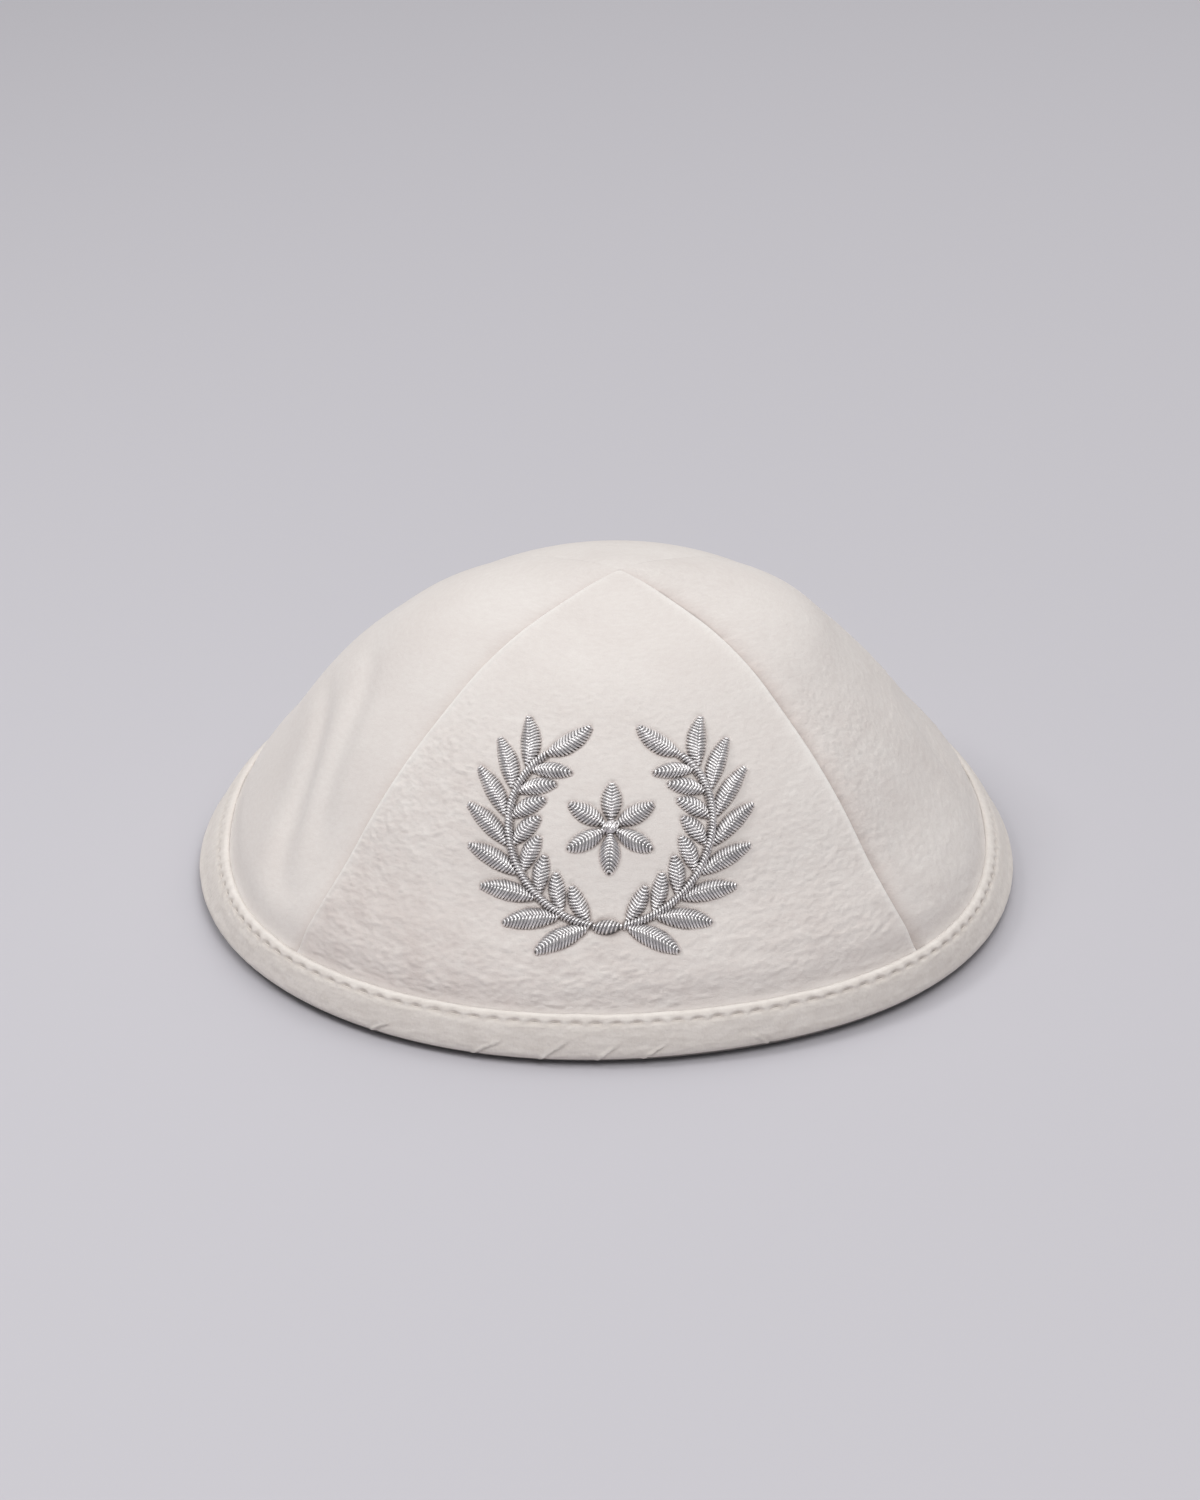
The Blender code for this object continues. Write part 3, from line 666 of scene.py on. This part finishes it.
def binding_mesh():
    """The strip's section carried round the rim, with its stitch pockets, puckers and creases."""
    line = section_curve(BINDING_SECTION)
    share, cover, inner = np.clip(line[:, 0], 0, 1), line[:, 1], line[:, 2] > 0.5
    azimuth = np.arange(RIM_STEPS) * 360 / RIM_STEPS
    around = np.radians(azimuth)[:, None]
    wave = sum(size * np.sin(count * around + start) for size, count, start in RIM_WAVES)
    lip = smooth_step(GROOVE_SHARE, 0.95, share)[None, :] * ~inner
    height = share * BINDING_HEIGHT * (1 - LIP_DROP * lip * (1 + wave) / 2)
    turned = (azimuth + 180) % 360 - 180
    off_less = (turned - LESS_RISE_AZIMUTH) / LESS_RISE_SPREAD
    rise = UNDERSIDE_RISE * (1 - LESS_RISE * np.exp(-(off_less**2)))
    rolled_in, rolled_out = 0.45 * smooth_step(0.5, -0.6, cover), 0.45 + 0.55 * smooth_step(-0.6, 0.6, cover)
    rolled = np.where(inner, rolled_in, rolled_out)
    height = height + rise[:, None] * (rolled * (1 - smooth_step(0.08, 0.55, share)))[None, :]
    stand_off = BINDING_CLEARANCE + cover * BINDING_WALL
    reach = np.where(inner, hem_reach(azimuth, share * BINDING_HEIGHT, True) - stand_off,
                     hem_reach(azimuth, share * BINDING_HEIGHT, False) + stand_off)

    phase = (azimuth * STITCH_COUNT / 360)[:, None] % 1
    run = np.clip((phase - 0.12) / 0.76, 0, 1)
    arc = np.sin(math.pi * run)
    from_groove = (share - GROOVE_SHARE)[None, :] * BINDING_HEIGHT - SCALLOP * arc
    bite = 0.35 + 0.65 * smooth_step(-0.25, 0.45, np.cos(np.radians(azimuth)))[:, None]
    shows = (~inner & (cover > 0.3))[None, :] * bite
    pocket_height = np.where(from_groove < 0, *POCKET_HEIGHTS)
    pocket = POCKET_DEPTH * arc**0.7 * (0.7 + 0.4 * run) * np.exp(-((from_groove / pocket_height) ** 2))
    below = np.where(from_groove < 0, np.exp(from_groove / SWELL_REACH), 0)
    swell = SWELL * below * arc
    drag = DRAG * below * np.cos(2 * math.pi * (phase - from_groove / DRAG_LENGTH))
    lip_swell = LIP_SWELL * lip * np.cos(2 * math.pi * (phase + 0.1)) + LIP_WAVE * lip * wave
    in_track = np.exp(-((from_groove / TRACK_WIDTH) ** 2))
    reach = reach + shows * (swell + drag + lip_swell - pocket - TRACK_DEPTH * in_track)

    creased = np.zeros(reach.shape)
    for place, slant, end in CREASES:
        line_azimuth = place + slant * share * BINDING_HEIGHT * 1000
        away = (turned[:, None] - line_azimuth[None, :]) / CREASE_WIDTH
        fade = 1 - smooth_step(end * 0.6, end, share)
        ridge = np.exp(-(away**2)) - 0.6 * np.exp(-((away - 1.8) ** 2))
        creased += shows * fade[None, :] * ridge
    reach = reach + CREASE_HEIGHT * creased

    points = np.stack([reach * np.sin(around), -reach * np.cos(around), height], axis=-1)
    count = len(share)
    grid = np.arange(RIM_STEPS * count).reshape(RIM_STEPS, count)
    here, there = grid, np.roll(grid, -1, axis=0)
    quads = np.stack([here, there, np.roll(there, -1, axis=1), np.roll(here, -1, axis=1)], axis=-1)
    mesh = bpy.data.meshes.new("binding")
    mesh.from_pydata(points.reshape(-1, 3).tolist(), [], quads.reshape(-1, 4).tolist())
    cloth = points.reshape(-1, 3) * (1, 1, 1 / 0.0012)
    mesh.attributes.new("cloth", "FLOAT_VECTOR", "POINT").data.foreach_set("vector", cloth.ravel())
    strength = shows * smooth_step(0.02, 0.12, share)[None, :] * np.ones((RIM_STEPS, 1))
    paint(mesh, "ripple", strength)
    paint(mesh, "pucker", strength * (share < GROOVE_SHARE))
    # A highlight painted along the lip's top, stronger where the stitches bite deeper.
    painted_lip_highlight = 0.75 * np.exp(-(((share - 0.992) / 0.016) ** 2)) * ~inner
    # Painted shade: the strip's bottom and underside are coloured dark.
    painted_underside_shade = 2.0 * np.where(inner, share < 0.03, 1 - smooth_step(0.004, 0.025, share))
    edge = painted_lip_highlight * bite - painted_underside_shade
    # Painted shade in the stitch track and in the pockets, darkest along their lower border; painted light
    # and shade across the creases.
    hollow = shows * pocket / POCKET_DEPTH
    border = np.exp(-(((from_groove + BORDER_PLACE) / BORDER_WIDTH) ** 2))
    paint(mesh, "edge", edge + 0.5 * creased - 0.25 * shows * in_track - (0.7 + 0.9 * border) * hollow)
    return mesh


BINDING_VELOUR = velour("binding_velour", (0.86, 0.81, 0.765, 1), (0.60, 0.54, 0.495, 1))
binding = run_tree("binding_strip", binding_mesh(), RIPPLES, {
    "Ripple Height": 0.00005, "Ripple Spacing": 0.0011, "Ripple Stretch": 1.2,
    "Pucker Height": 0.00016, "Pucker Spacing": 0.0045, "Material": BINDING_VELOUR,
})
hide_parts("rim_binding")
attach(binding, "root")


# Topstitching. One row of ivory sewing thread round the binding, a straight lock stitch 3.9 mm long that
# goes through both leaves of the strip and the hem between them, and lies sunk in its groove.

TOPSTITCH_RADIUS = 0.00016
TOPSTITCH_SHARE = 0.88
TOPSTITCH_HALF_LENGTH, TOPSTITCH_RISE = 0.0015, 0.0002


def thread_tree():
    """Lays a thread at even steps along guide lines: a low arch whose ends dip into the cloth.

    A guide's points carry the outward direction and the arch's half length, rise and turn off the line.
    """
    tree, given = new_tree("thread_row", {
        "Step": "Float", "Thread Radius": "Float", "Thread Sides": "Int", "Arch Points": "Int",
        "Shine Seed": "Int", "Material": "Material",
    })
    start = given["Geometry"]

    def attribute(name, kind):
        return start.node("GeometryNodeInputNamedAttribute", {"data_type": kind}, {"Name": name}, "Attribute")

    guide = start.node("GeometryNodeMeshToCurve", {}, {"Mesh": start})
    steps = start.node("GeometryNodeResampleCurve", {"mode": "LENGTH"},
                       {"Curve": guide, "Length": given["Step"]})
    half_circle = {"Radius": 1.0, "Start Angle": 0.0, "Sweep Angle": math.pi}
    arch = start.node("GeometryNodeCurveArc", {}, {"Resolution": given["Arch Points"], **half_circle})
    upright = start.node("GeometryNodeTransform", {}, {"Geometry": arch, "Rotation": (math.pi / 2, 0, 0)})
    outwards = attribute("outwards", "FLOAT_VECTOR")
    tangent = start.node("GeometryNodeInputTangent", {}, {})
    facing = start.node("FunctionNodeAxesToRotation", {"primary_axis": "Z", "secondary_axis": "X"},
                        {"Primary Axis": outwards, "Secondary Axis": tangent})
    turn = start.node("ShaderNodeCombineXYZ", {}, {"Z": attribute("turn", "FLOAT")})
    turned = start.node("FunctionNodeRotateRotation", {"rotation_space": "LOCAL"},
                        {"Rotation": facing, "Rotate By": turn})
    half = attribute("half_length", "FLOAT")
    size = start.node("ShaderNodeCombineXYZ", {}, {"X": half, "Y": half, "Z": attribute("rise", "FLOAT")})
    laid = start.node("GeometryNodeInstanceOnPoints", {},
                      {"Points": steps, "Instance": upright, "Rotation": turned, "Scale": size})
    shine = start.node("FunctionNodeRandomValue", {"data_type": "FLOAT"},
                       {"Seed": given["Shine Seed"]}, "Value_001")
    marked = start.node("GeometryNodeStoreNamedAttribute", {"domain": "INSTANCE", "data_type": "FLOAT"},
                        {"Geometry": laid, "Name": "shine", "Value": shine})
    lines = start.node("GeometryNodeRealizeInstances", {}, {"Geometry": marked})
    round_section = start.node("GeometryNodeCurvePrimitiveCircle", {},
                               {"Resolution": given["Thread Sides"], "Radius": given["Thread Radius"]})
    thread = start.node("GeometryNodeCurveToMesh", {},
                        {"Curve": lines, "Profile Curve": round_section, "Fill Caps": True})
    end_tree(tree, thread, given["Material"])
    return tree


def guide_mesh(piece_name, lines):
    """Guide lines as one mesh of edges. Each point: place, outward direction, half length, rise and turn."""
    points, edges = [], []
    for line in lines:
        first = len(points)
        points.extend(line)
        edges.extend((first + i, first + i + 1) for i in range(len(line) - 1))
    mesh = bpy.data.meshes.new(piece_name)
    mesh.from_pydata([tuple(place) for place, *_ in points], edges, [])
    outwards = np.array([direction for _, direction, *_ in points]).ravel()
    mesh.attributes.new("outwards", "FLOAT_VECTOR", "POINT").data.foreach_set("vector", outwards)
    for column, name in ((2, "half_length"), (3, "rise"), (4, "turn")):
        paint(mesh, name, np.array([point[column] for point in points]))
    return mesh


def stitch_guide():
    """A line round the rim in the groove, from the middle of one stitch to the middle of the last."""
    azimuth = np.linspace(0.5, STITCH_COUNT - 0.5, 8 * STITCH_COUNT) * 360 / STITCH_COUNT
    share = np.array([GROOVE_SHARE - 0.004])
    reach = hem_reach(azimuth, share * BINDING_HEIGHT, False)[:, 0]
    reach = reach + BINDING_CLEARANCE + TOPSTITCH_SHARE * BINDING_WALL - POCKET_DEPTH - TOPSTITCH_RADIUS
    around = np.radians(azimuth)
    out = np.stack([np.sin(around), -np.cos(around), np.zeros(len(around))], axis=-1)
    places = out * reach[:, None] + (0, 0, float(share[0]) * BINDING_HEIGHT)
    return [(place, way, TOPSTITCH_HALF_LENGTH, TOPSTITCH_RISE, 0.0) for place, way in zip(places, out)]


def sewing_thread():
    material = bpy.data.materials.new("sewing_thread")
    material.use_nodes = True
    tree = material.node_tree
    shader = tree.nodes["Principled BSDF"]
    base = Wire(tree)
    place = base.node("ShaderNodeTexCoord", {}, {}, "Object")
    strands = base.node("ShaderNodeTexNoise", {}, {"Vector": place, "Scale": 5200.0, "Detail": 1.0}, 0)
    colour = base.node("ShaderNodeMix", {"data_type": "RGBA"}, {
        "Factor_Float": strands, "A_Color": (0.66, 0.60, 0.55, 1), "B_Color": (0.76, 0.70, 0.65, 1)
    }, "Result_Color")
    bump = base.node("ShaderNodeBump", {}, {"Strength": 0.4, "Distance": 0.0001, "Height": strands})
    tree.links.new(colour.socket, shader.inputs["Base Color"])
    tree.links.new(bump.socket, shader.inputs["Normal"])
    shader.inputs["Roughness"].default_value = 0.6
    shader.inputs["Sheen Weight"].default_value = 0.2
    return material


THREADS = thread_tree()
rim_line = stitch_guide()
rim_length = sum(math.dist(a[0], b[0]) for a, b in zip(rim_line, rim_line[1:]))
topstitch = run_tree("topstitch_row", guide_mesh("topstitch", [rim_line]), THREADS, {
    "Step": rim_length / (STITCH_COUNT - 1), "Thread Radius": TOPSTITCH_RADIUS,
    "Thread Sides": 6, "Arch Points": 8, "Shine Seed": 1, "Material": sewing_thread(),
})
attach(topstitch, "root")


# Embroidered wreath. Two leafy sprigs, tied at the foot, round a six-petalled rosette, worked on the front
# quarter in metallised silver thread over padding. Satin stitches lie side by side across each stem, and
# in two rows, from a vein to both edges, on each leaf and petal. They pull the cloth down round each stroke.

WREATH_RADIUS = 0.0195
SPRIG_END = math.radians(139)
STEM_WIDTH = 0.0012
LEAF_ROWS = (
    # outwards or inwards, length, width, angle to the stem
    (1, 0.0104, 0.0034, math.radians(38)),
    (-1, 0.0072, 0.0027, math.radians(52)),
)
LEAF_PAIRS = 8
LEAF_BOW, LEAF_BELLY, LEAF_FULLNESS = 0.2, 0.85, 0.8
FIRST_LEAF = 0.2
ROSETTE_RADIUS = 0.0092
PETAL_COUNT = 6
PETAL_WIDTH = 0.0034
ROSETTE_EYE_RADIUS = 0.0014
TIE_LENGTH, TIE_WIDTH = 0.0052, 0.0026
PAD_LIFT = 0.0003
PAD_RELIEF = 0.0009
SILVER_RADIUS = 0.00024
SILVER_STEP = 0.00063
SATIN_SLANT = math.radians(62)
VEIN_DEPTH = 0.00012
END_DEPTH = 0.00045
ROW_SINK, ROW_OVERHANG, ROW_CLEARANCE = 0.00012, 0.00018, 0.0003
EDGE_OVERHANG, EDGE_RISE, EDGE_RISE_SHARE = 0.00012, 0.00012, 0.34
GUIDE_POINTS = 25
PULL_DEPTH, PULL_REACH = 0.00035, 0.0006
# Painted shade on the cloth round each stroke, and how far it reaches.
PULL_PAINTED_SHADE, PULL_SHADE_REACH = 1.7, 0.0004


def on_front(across, up, lift):
    """A place over the front quarter, and the outward direction there."""
    along = WREATH_PLACE + up
    reach = dome_reach(np.zeros(1), np.array([along]))[1][0]
    return on_dome(math.degrees(across / reach), along, lift)


def stroke_along(middle_line, width_at):
    """A stroke's stations: place on the cloth, half width, and the padding's height."""
    return [
        (place, width_at(share) / 2, PAD_LIFT + PAD_RELIEF * (0.35 + 0.65 * math.sin(math.pi * share)))
        for place, share in middle_line
    ]


def leaf_stroke(root, heading, length, width, bow):
    middle_line = []
    for share in np.linspace(0.02, 0.98, GUIDE_POINTS):
        side = bow * length * share * (1 - share)
        across = root[0] + length * share * math.cos(heading) - side * math.sin(heading)
        up = root[1] + length * share * math.sin(heading) + side * math.cos(heading)
        middle_line.append(((across, up), share))
    return stroke_along(
        middle_line, lambda share: width * math.sin(math.pi * share**LEAF_BELLY) ** LEAF_FULLNESS
    )


def single_row(stroke):
    """A guide for stitches that cross the whole stroke."""
    line = []
    for place, half, padding in stroke:
        point, out = on_front(*place, -ROW_SINK)
        line.append((point, out, half + ROW_OVERHANG, padding + ROW_CLEARANCE, SATIN_SLANT))
    return line


def double_row(stroke):
    """Guides for stitches from the vein on top of the padding down to both edges, slanting to the tip."""
    places = np.array([place for place, *_ in stroke])
    ways = np.gradient(places, axis=0)
    ways /= np.linalg.norm(ways, axis=1)[:, None]
    lines = []
    for side in (1, -1):
        line = []
        for (place, half, padding), way in zip(stroke, ways):
            aside = side * (half + EDGE_OVERHANG) * np.array([-way[1], way[0]])
            vein = on_front(*place, padding - VEIN_DEPTH)[0]
            edge, out = on_front(*(np.array(place) + aside), -END_DEPTH)
            span = edge - vein
            length = np.linalg.norm(span)
            outwards = out - span * (out @ span) / length**2
            half_length = length / 2 / math.sin(SATIN_SLANT)
            line.append((
                (vein + edge) / 2, outwards / np.linalg.norm(outwards), half_length,
                EDGE_RISE_SHARE * padding + EDGE_RISE, side * SATIN_SLANT
            ))
        lines.append(line)
    return lines


def wreath_spot(angle, radius, side):
    return side * radius * math.sin(angle), -radius * math.cos(angle)


def sprig_strokes(side):
    """The stem, and its leaves in pairs with one at the end."""
    start = (TIE_LENGTH / 2 + PAD_LIFT) / WREATH_RADIUS
    stem = []
    for share in np.linspace(0.01, 0.99, 60):
        stem.append((wreath_spot(start + (SPRIG_END - start) * share, WREATH_RADIUS, side), share))
    leaves = []
    for pair in range(LEAF_PAIRS):
        angle = start + (SPRIG_END - start) * (pair + FIRST_LEAF) / LEAF_PAIRS
        forward = angle if side > 0 else math.pi - angle
        for outwards, length, width, lean in LEAF_ROWS:
            off_stem = outwards * (STEM_WIDTH / 2 + PAD_LIFT)
            root = wreath_spot(angle, WREATH_RADIUS + off_stem, side)
            heading = forward - side * outwards * lean
            leaves.append(leaf_stroke(root, heading, length, width, LEAF_BOW * side * outwards))
    end = SPRIG_END + PAD_LIFT / WREATH_RADIUS
    root = wreath_spot(end, WREATH_RADIUS, side)
    _, length, width, _ = LEAF_ROWS[0]
    leaves.append(leaf_stroke(root, end if side > 0 else math.pi - end, length, width, LEAF_BOW * side))
    return [stroke_along(stem, lambda share: STEM_WIDTH)], leaves


def eye_width(share):
    """The round eye's width at a share of the way across it."""
    return 4 * ROSETTE_EYE_RADIUS * math.sqrt(share * (1 - share))


def rosette_strokes():
    """The eye, and the petals round it."""
    root_radius = ROSETTE_EYE_RADIUS + PAD_LIFT
    eye = [((ROSETTE_EYE_RADIUS * (2 * share - 1), 0), share) for share in np.linspace(0.04, 0.96, 12)]
    petals = []
    for petal in range(PETAL_COUNT):
        heading = math.pi / 2 + 2 * math.pi * petal / PETAL_COUNT
        root = (root_radius * math.cos(heading), root_radius * math.sin(heading))
        petals.append(leaf_stroke(root, heading, ROSETTE_RADIUS - root_radius, PETAL_WIDTH, 0))
    return [stroke_along(eye, eye_width)], petals


def pull_cloth(quarter, strokes):
    """Draws the front quarter's face down along the edge of each stroke, and paints shade on it there."""
    mesh = quarter.data
    values = {}
    for name, size in (("cloth", 3), ("edge", 1)):
        values[name] = np.empty(len(mesh.vertices) * size)
        mesh.attributes[name].data.foreach_get("vector" if size == 3 else "value", values[name])
    points, normals = np.empty(len(mesh.vertices) * 3), np.empty(len(mesh.vertices) * 3)
    mesh.vertices.foreach_get("co", points)
    mesh.vertices.foreach_get("normal", normals)
    cloth = values["cloth"].reshape(-1, 3)[: FRONT_ROWS * (FRONT_COLUMNS + 1), :2] - (0, WREATH_PLACE)
    near = np.nonzero(np.hypot(*cloth.T) < 2 * WREATH_RADIUS)[0]
    away = np.full(len(near), WREATH_RADIUS)
    for stroke in strokes:
        for (across, up), half, _ in stroke:
            away = np.minimum(away, np.hypot(cloth[near, 0] - across, cloth[near, 1] - up) - half)
    away = np.maximum(away, 0)
    points = points.reshape(-1, 3)
    points[near] -= PULL_DEPTH * np.exp(-((away / PULL_REACH) ** 2))[:, None] * normals.reshape(-1, 3)[near]
    # A painted shadow on the cloth along each stroke's edge.
    values["edge"][near] -= PULL_PAINTED_SHADE * np.exp(-((away / PULL_SHADE_REACH) ** 2))
    mesh.vertices.foreach_set("co", points.ravel())
    mesh.attributes["edge"].data.foreach_set("value", values["edge"])


def silver_thread():
    """Thread wrapped in bright foil, a little uneven in gloss."""
    material = bpy.data.materials.new("silver_thread")
    material.use_nodes = True
    tree = material.node_tree
    shader = tree.nodes["Principled BSDF"]
    base = Wire(tree)
    place = base.node("ShaderNodeTexCoord", {}, {}, "Object")
    foil = base.node("ShaderNodeTexNoise", {}, {"Vector": place, "Scale": 3200.0, "Detail": 2.0}, 0)
    patches = base.node("ShaderNodeTexNoise", {}, {"Vector": place, "Scale": 700.0, "Detail": 1.0}, 0)
    shine = base.node("ShaderNodeAttribute", {"attribute_name": "shine"}, {}, "Fac")
    bright = (foil - 0.5) * 1.4 + (patches - 0.5) * 0.8 + (shine - 0.5) * 0.5 + 0.55
    colour = base.node("ShaderNodeMix", {"data_type": "RGBA"}, {
        "Factor_Float": bright, "A_Color": (0.62, 0.59, 0.595, 1), "B_Color": (1.0, 0.98, 0.975, 1)
    }, "Result_Color")
    bump = base.node("ShaderNodeBump", {}, {"Strength": 0.5, "Distance": 0.0001, "Height": foil})
    tree.links.new(colour.socket, shader.inputs["Base Color"])
    tree.links.new(bump.socket, shader.inputs["Normal"])
    tree.links.new((patches * 0.24 + 0.22).socket, shader.inputs["Roughness"])
    shader.inputs["Metallic"].default_value = 0.90
    return material


SILVER = silver_thread()
# The padding under the satin, coloured dark grey as painted shade where it shows between the threads.
PADDING_PAINTED_SHADE = bpy.data.materials.new("padding_thread")
PADDING_PAINTED_SHADE.use_nodes = True
PADDING_PAINTED_SHADE.node_tree.nodes["Principled BSDF"].inputs["Base Color"].default_value = (0.22, 0.215, 0.22, 1)
PADDING_PAINTED_SHADE.node_tree.nodes["Principled BSDF"].inputs["Metallic"].default_value = 0.5
PADDING_PAINTED_SHADE.node_tree.nodes["Principled BSDF"].inputs["Roughness"].default_value = 0.5
for name, node in nodes.items():
    if name.startswith(("leaf_", "petal_", "stem_", "wreath_", "rosette_")):
        node.data.materials.clear()
        node.data.materials.append(SILVER if name == "rosette_eye" else PADDING_PAINTED_SHADE)

tie = leaf_stroke((-TIE_LENGTH / 2, -WREATH_RADIUS), 0, TIE_LENGTH, TIE_WIDTH, 0)
strokes = []
for name, (crossed, veined) in (
    ("sprig_left_stitches", sprig_strokes(-1)),
    ("sprig_right_stitches", sprig_strokes(1)),
    ("rosette_stitches", rosette_strokes()),
    ("tie_stitches", ([tie], [])),
):
    lines = [single_row(stroke) for stroke in crossed]
    for stroke in veined:
        lines.extend(double_row(stroke))
    strokes.extend(crossed + veined)
    piece = run_tree(name, guide_mesh(name, lines), THREADS, {
        "Step": SILVER_STEP, "Thread Radius": SILVER_RADIUS, "Thread Sides": 6, "Arch Points": 9,
        "Shine Seed": 7, "Material": SILVER,
    })
    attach(piece, "root")
pull_cloth(bpy.data.objects["quarter_front"], strokes)


# Studio. A plain pale floor, and soft lights: a wide one high at the back, one in front and a small one at
# the left, in pale surroundings. The camera looks down at the cap from the front, as the photograph does.

CAMERA_DISTANCE = 0.740
CAMERA_ELEVATION = math.radians(27.5)
PHOTO_HEIGHT = 1500
FOCAL_PIXELS = 3541
CENTRE_OFFSET = (7, 107)

camera_data = bpy.data.cameras.new("camera")
camera_data.sensor_fit = "VERTICAL"
camera_data.sensor_height = 36
camera_data.lens = FOCAL_PIXELS / PHOTO_HEIGHT * 36
camera = bpy.data.objects.new("camera", camera_data)
bpy.context.scene.collection.objects.link(camera)
camera.location = (
    0, -CAMERA_DISTANCE * math.cos(CAMERA_ELEVATION), CAMERA_DISTANCE * math.sin(CAMERA_ELEVATION)
)
pitch = CAMERA_ELEVATION - math.atan(CENTRE_OFFSET[1] / FOCAL_PIXELS)
camera.rotation_euler = (math.pi / 2 - pitch, 0, math.atan(CENTRE_OFFSET[0] / FOCAL_PIXELS))
bpy.context.scene.camera = camera

floor_mesh = bpy.data.meshes.new("floor")
floor_mesh.from_pydata([(-4, -4, 0), (4, -4, 0), (4, 4, 0), (-4, 4, 0)], [], [(0, 1, 2, 3)])
floor = bpy.data.objects.new("floor", floor_mesh)
bpy.context.scene.collection.objects.link(floor)
floor_paint = bpy.data.materials.new("floor")
floor_paint.use_nodes = True
floor_paint.node_tree.nodes["Principled BSDF"].inputs["Base Color"].default_value = (0.555, 0.541, 0.577, 1)
floor_paint.node_tree.nodes["Principled BSDF"].inputs["Roughness"].default_value = 0.9
floor_mesh.materials.append(floor_paint)

for name, place, size, watts in (
    # name, place, side, power
    ("overhead", (0.25, 0.65, 1.05), 1.0, 3.8),
    ("front_fill", (0.15, -0.80, 1.20), 0.6, 6.8),
    ("window", (-0.60, -0.15, 0.8), 0.25, 2.1),
):
    light_data = bpy.data.lights.new(name, "AREA")
    light_data.size = size
    light_data.energy = watts
    light = bpy.data.objects.new(name, light_data)
    light.location = place
    aim = np.array(place) / np.linalg.norm(place)
    light.rotation_euler = (math.acos(aim[2]), 0, math.atan2(aim[1], aim[0]) + math.pi / 2)
    bpy.context.scene.collection.objects.link(light)

world = bpy.data.worlds.new("surroundings")
world.use_nodes = True
base = Wire(world.node_tree)
direction = base.node("ShaderNodeTexCoord", {}, {}, "Generated")
upwards = base.node("ShaderNodeSeparateXYZ", {}, {"Vector": direction}, "Z")
sky = base.node("ShaderNodeMix", {"data_type": "RGBA"}, {
    "Factor_Float": upwards, "A_Color": (0.20, 0.20, 0.205, 1), "B_Color": (1.0, 1.0, 1.0, 1)
}, "Result_Color")
world.node_tree.links.new(sky.socket, world.node_tree.nodes["Background"].inputs["Color"])
world.node_tree.nodes["Background"].inputs["Strength"].default_value = 0.65
bpy.context.scene.world = world
bpy.context.scene.view_settings.view_transform = "Standard"
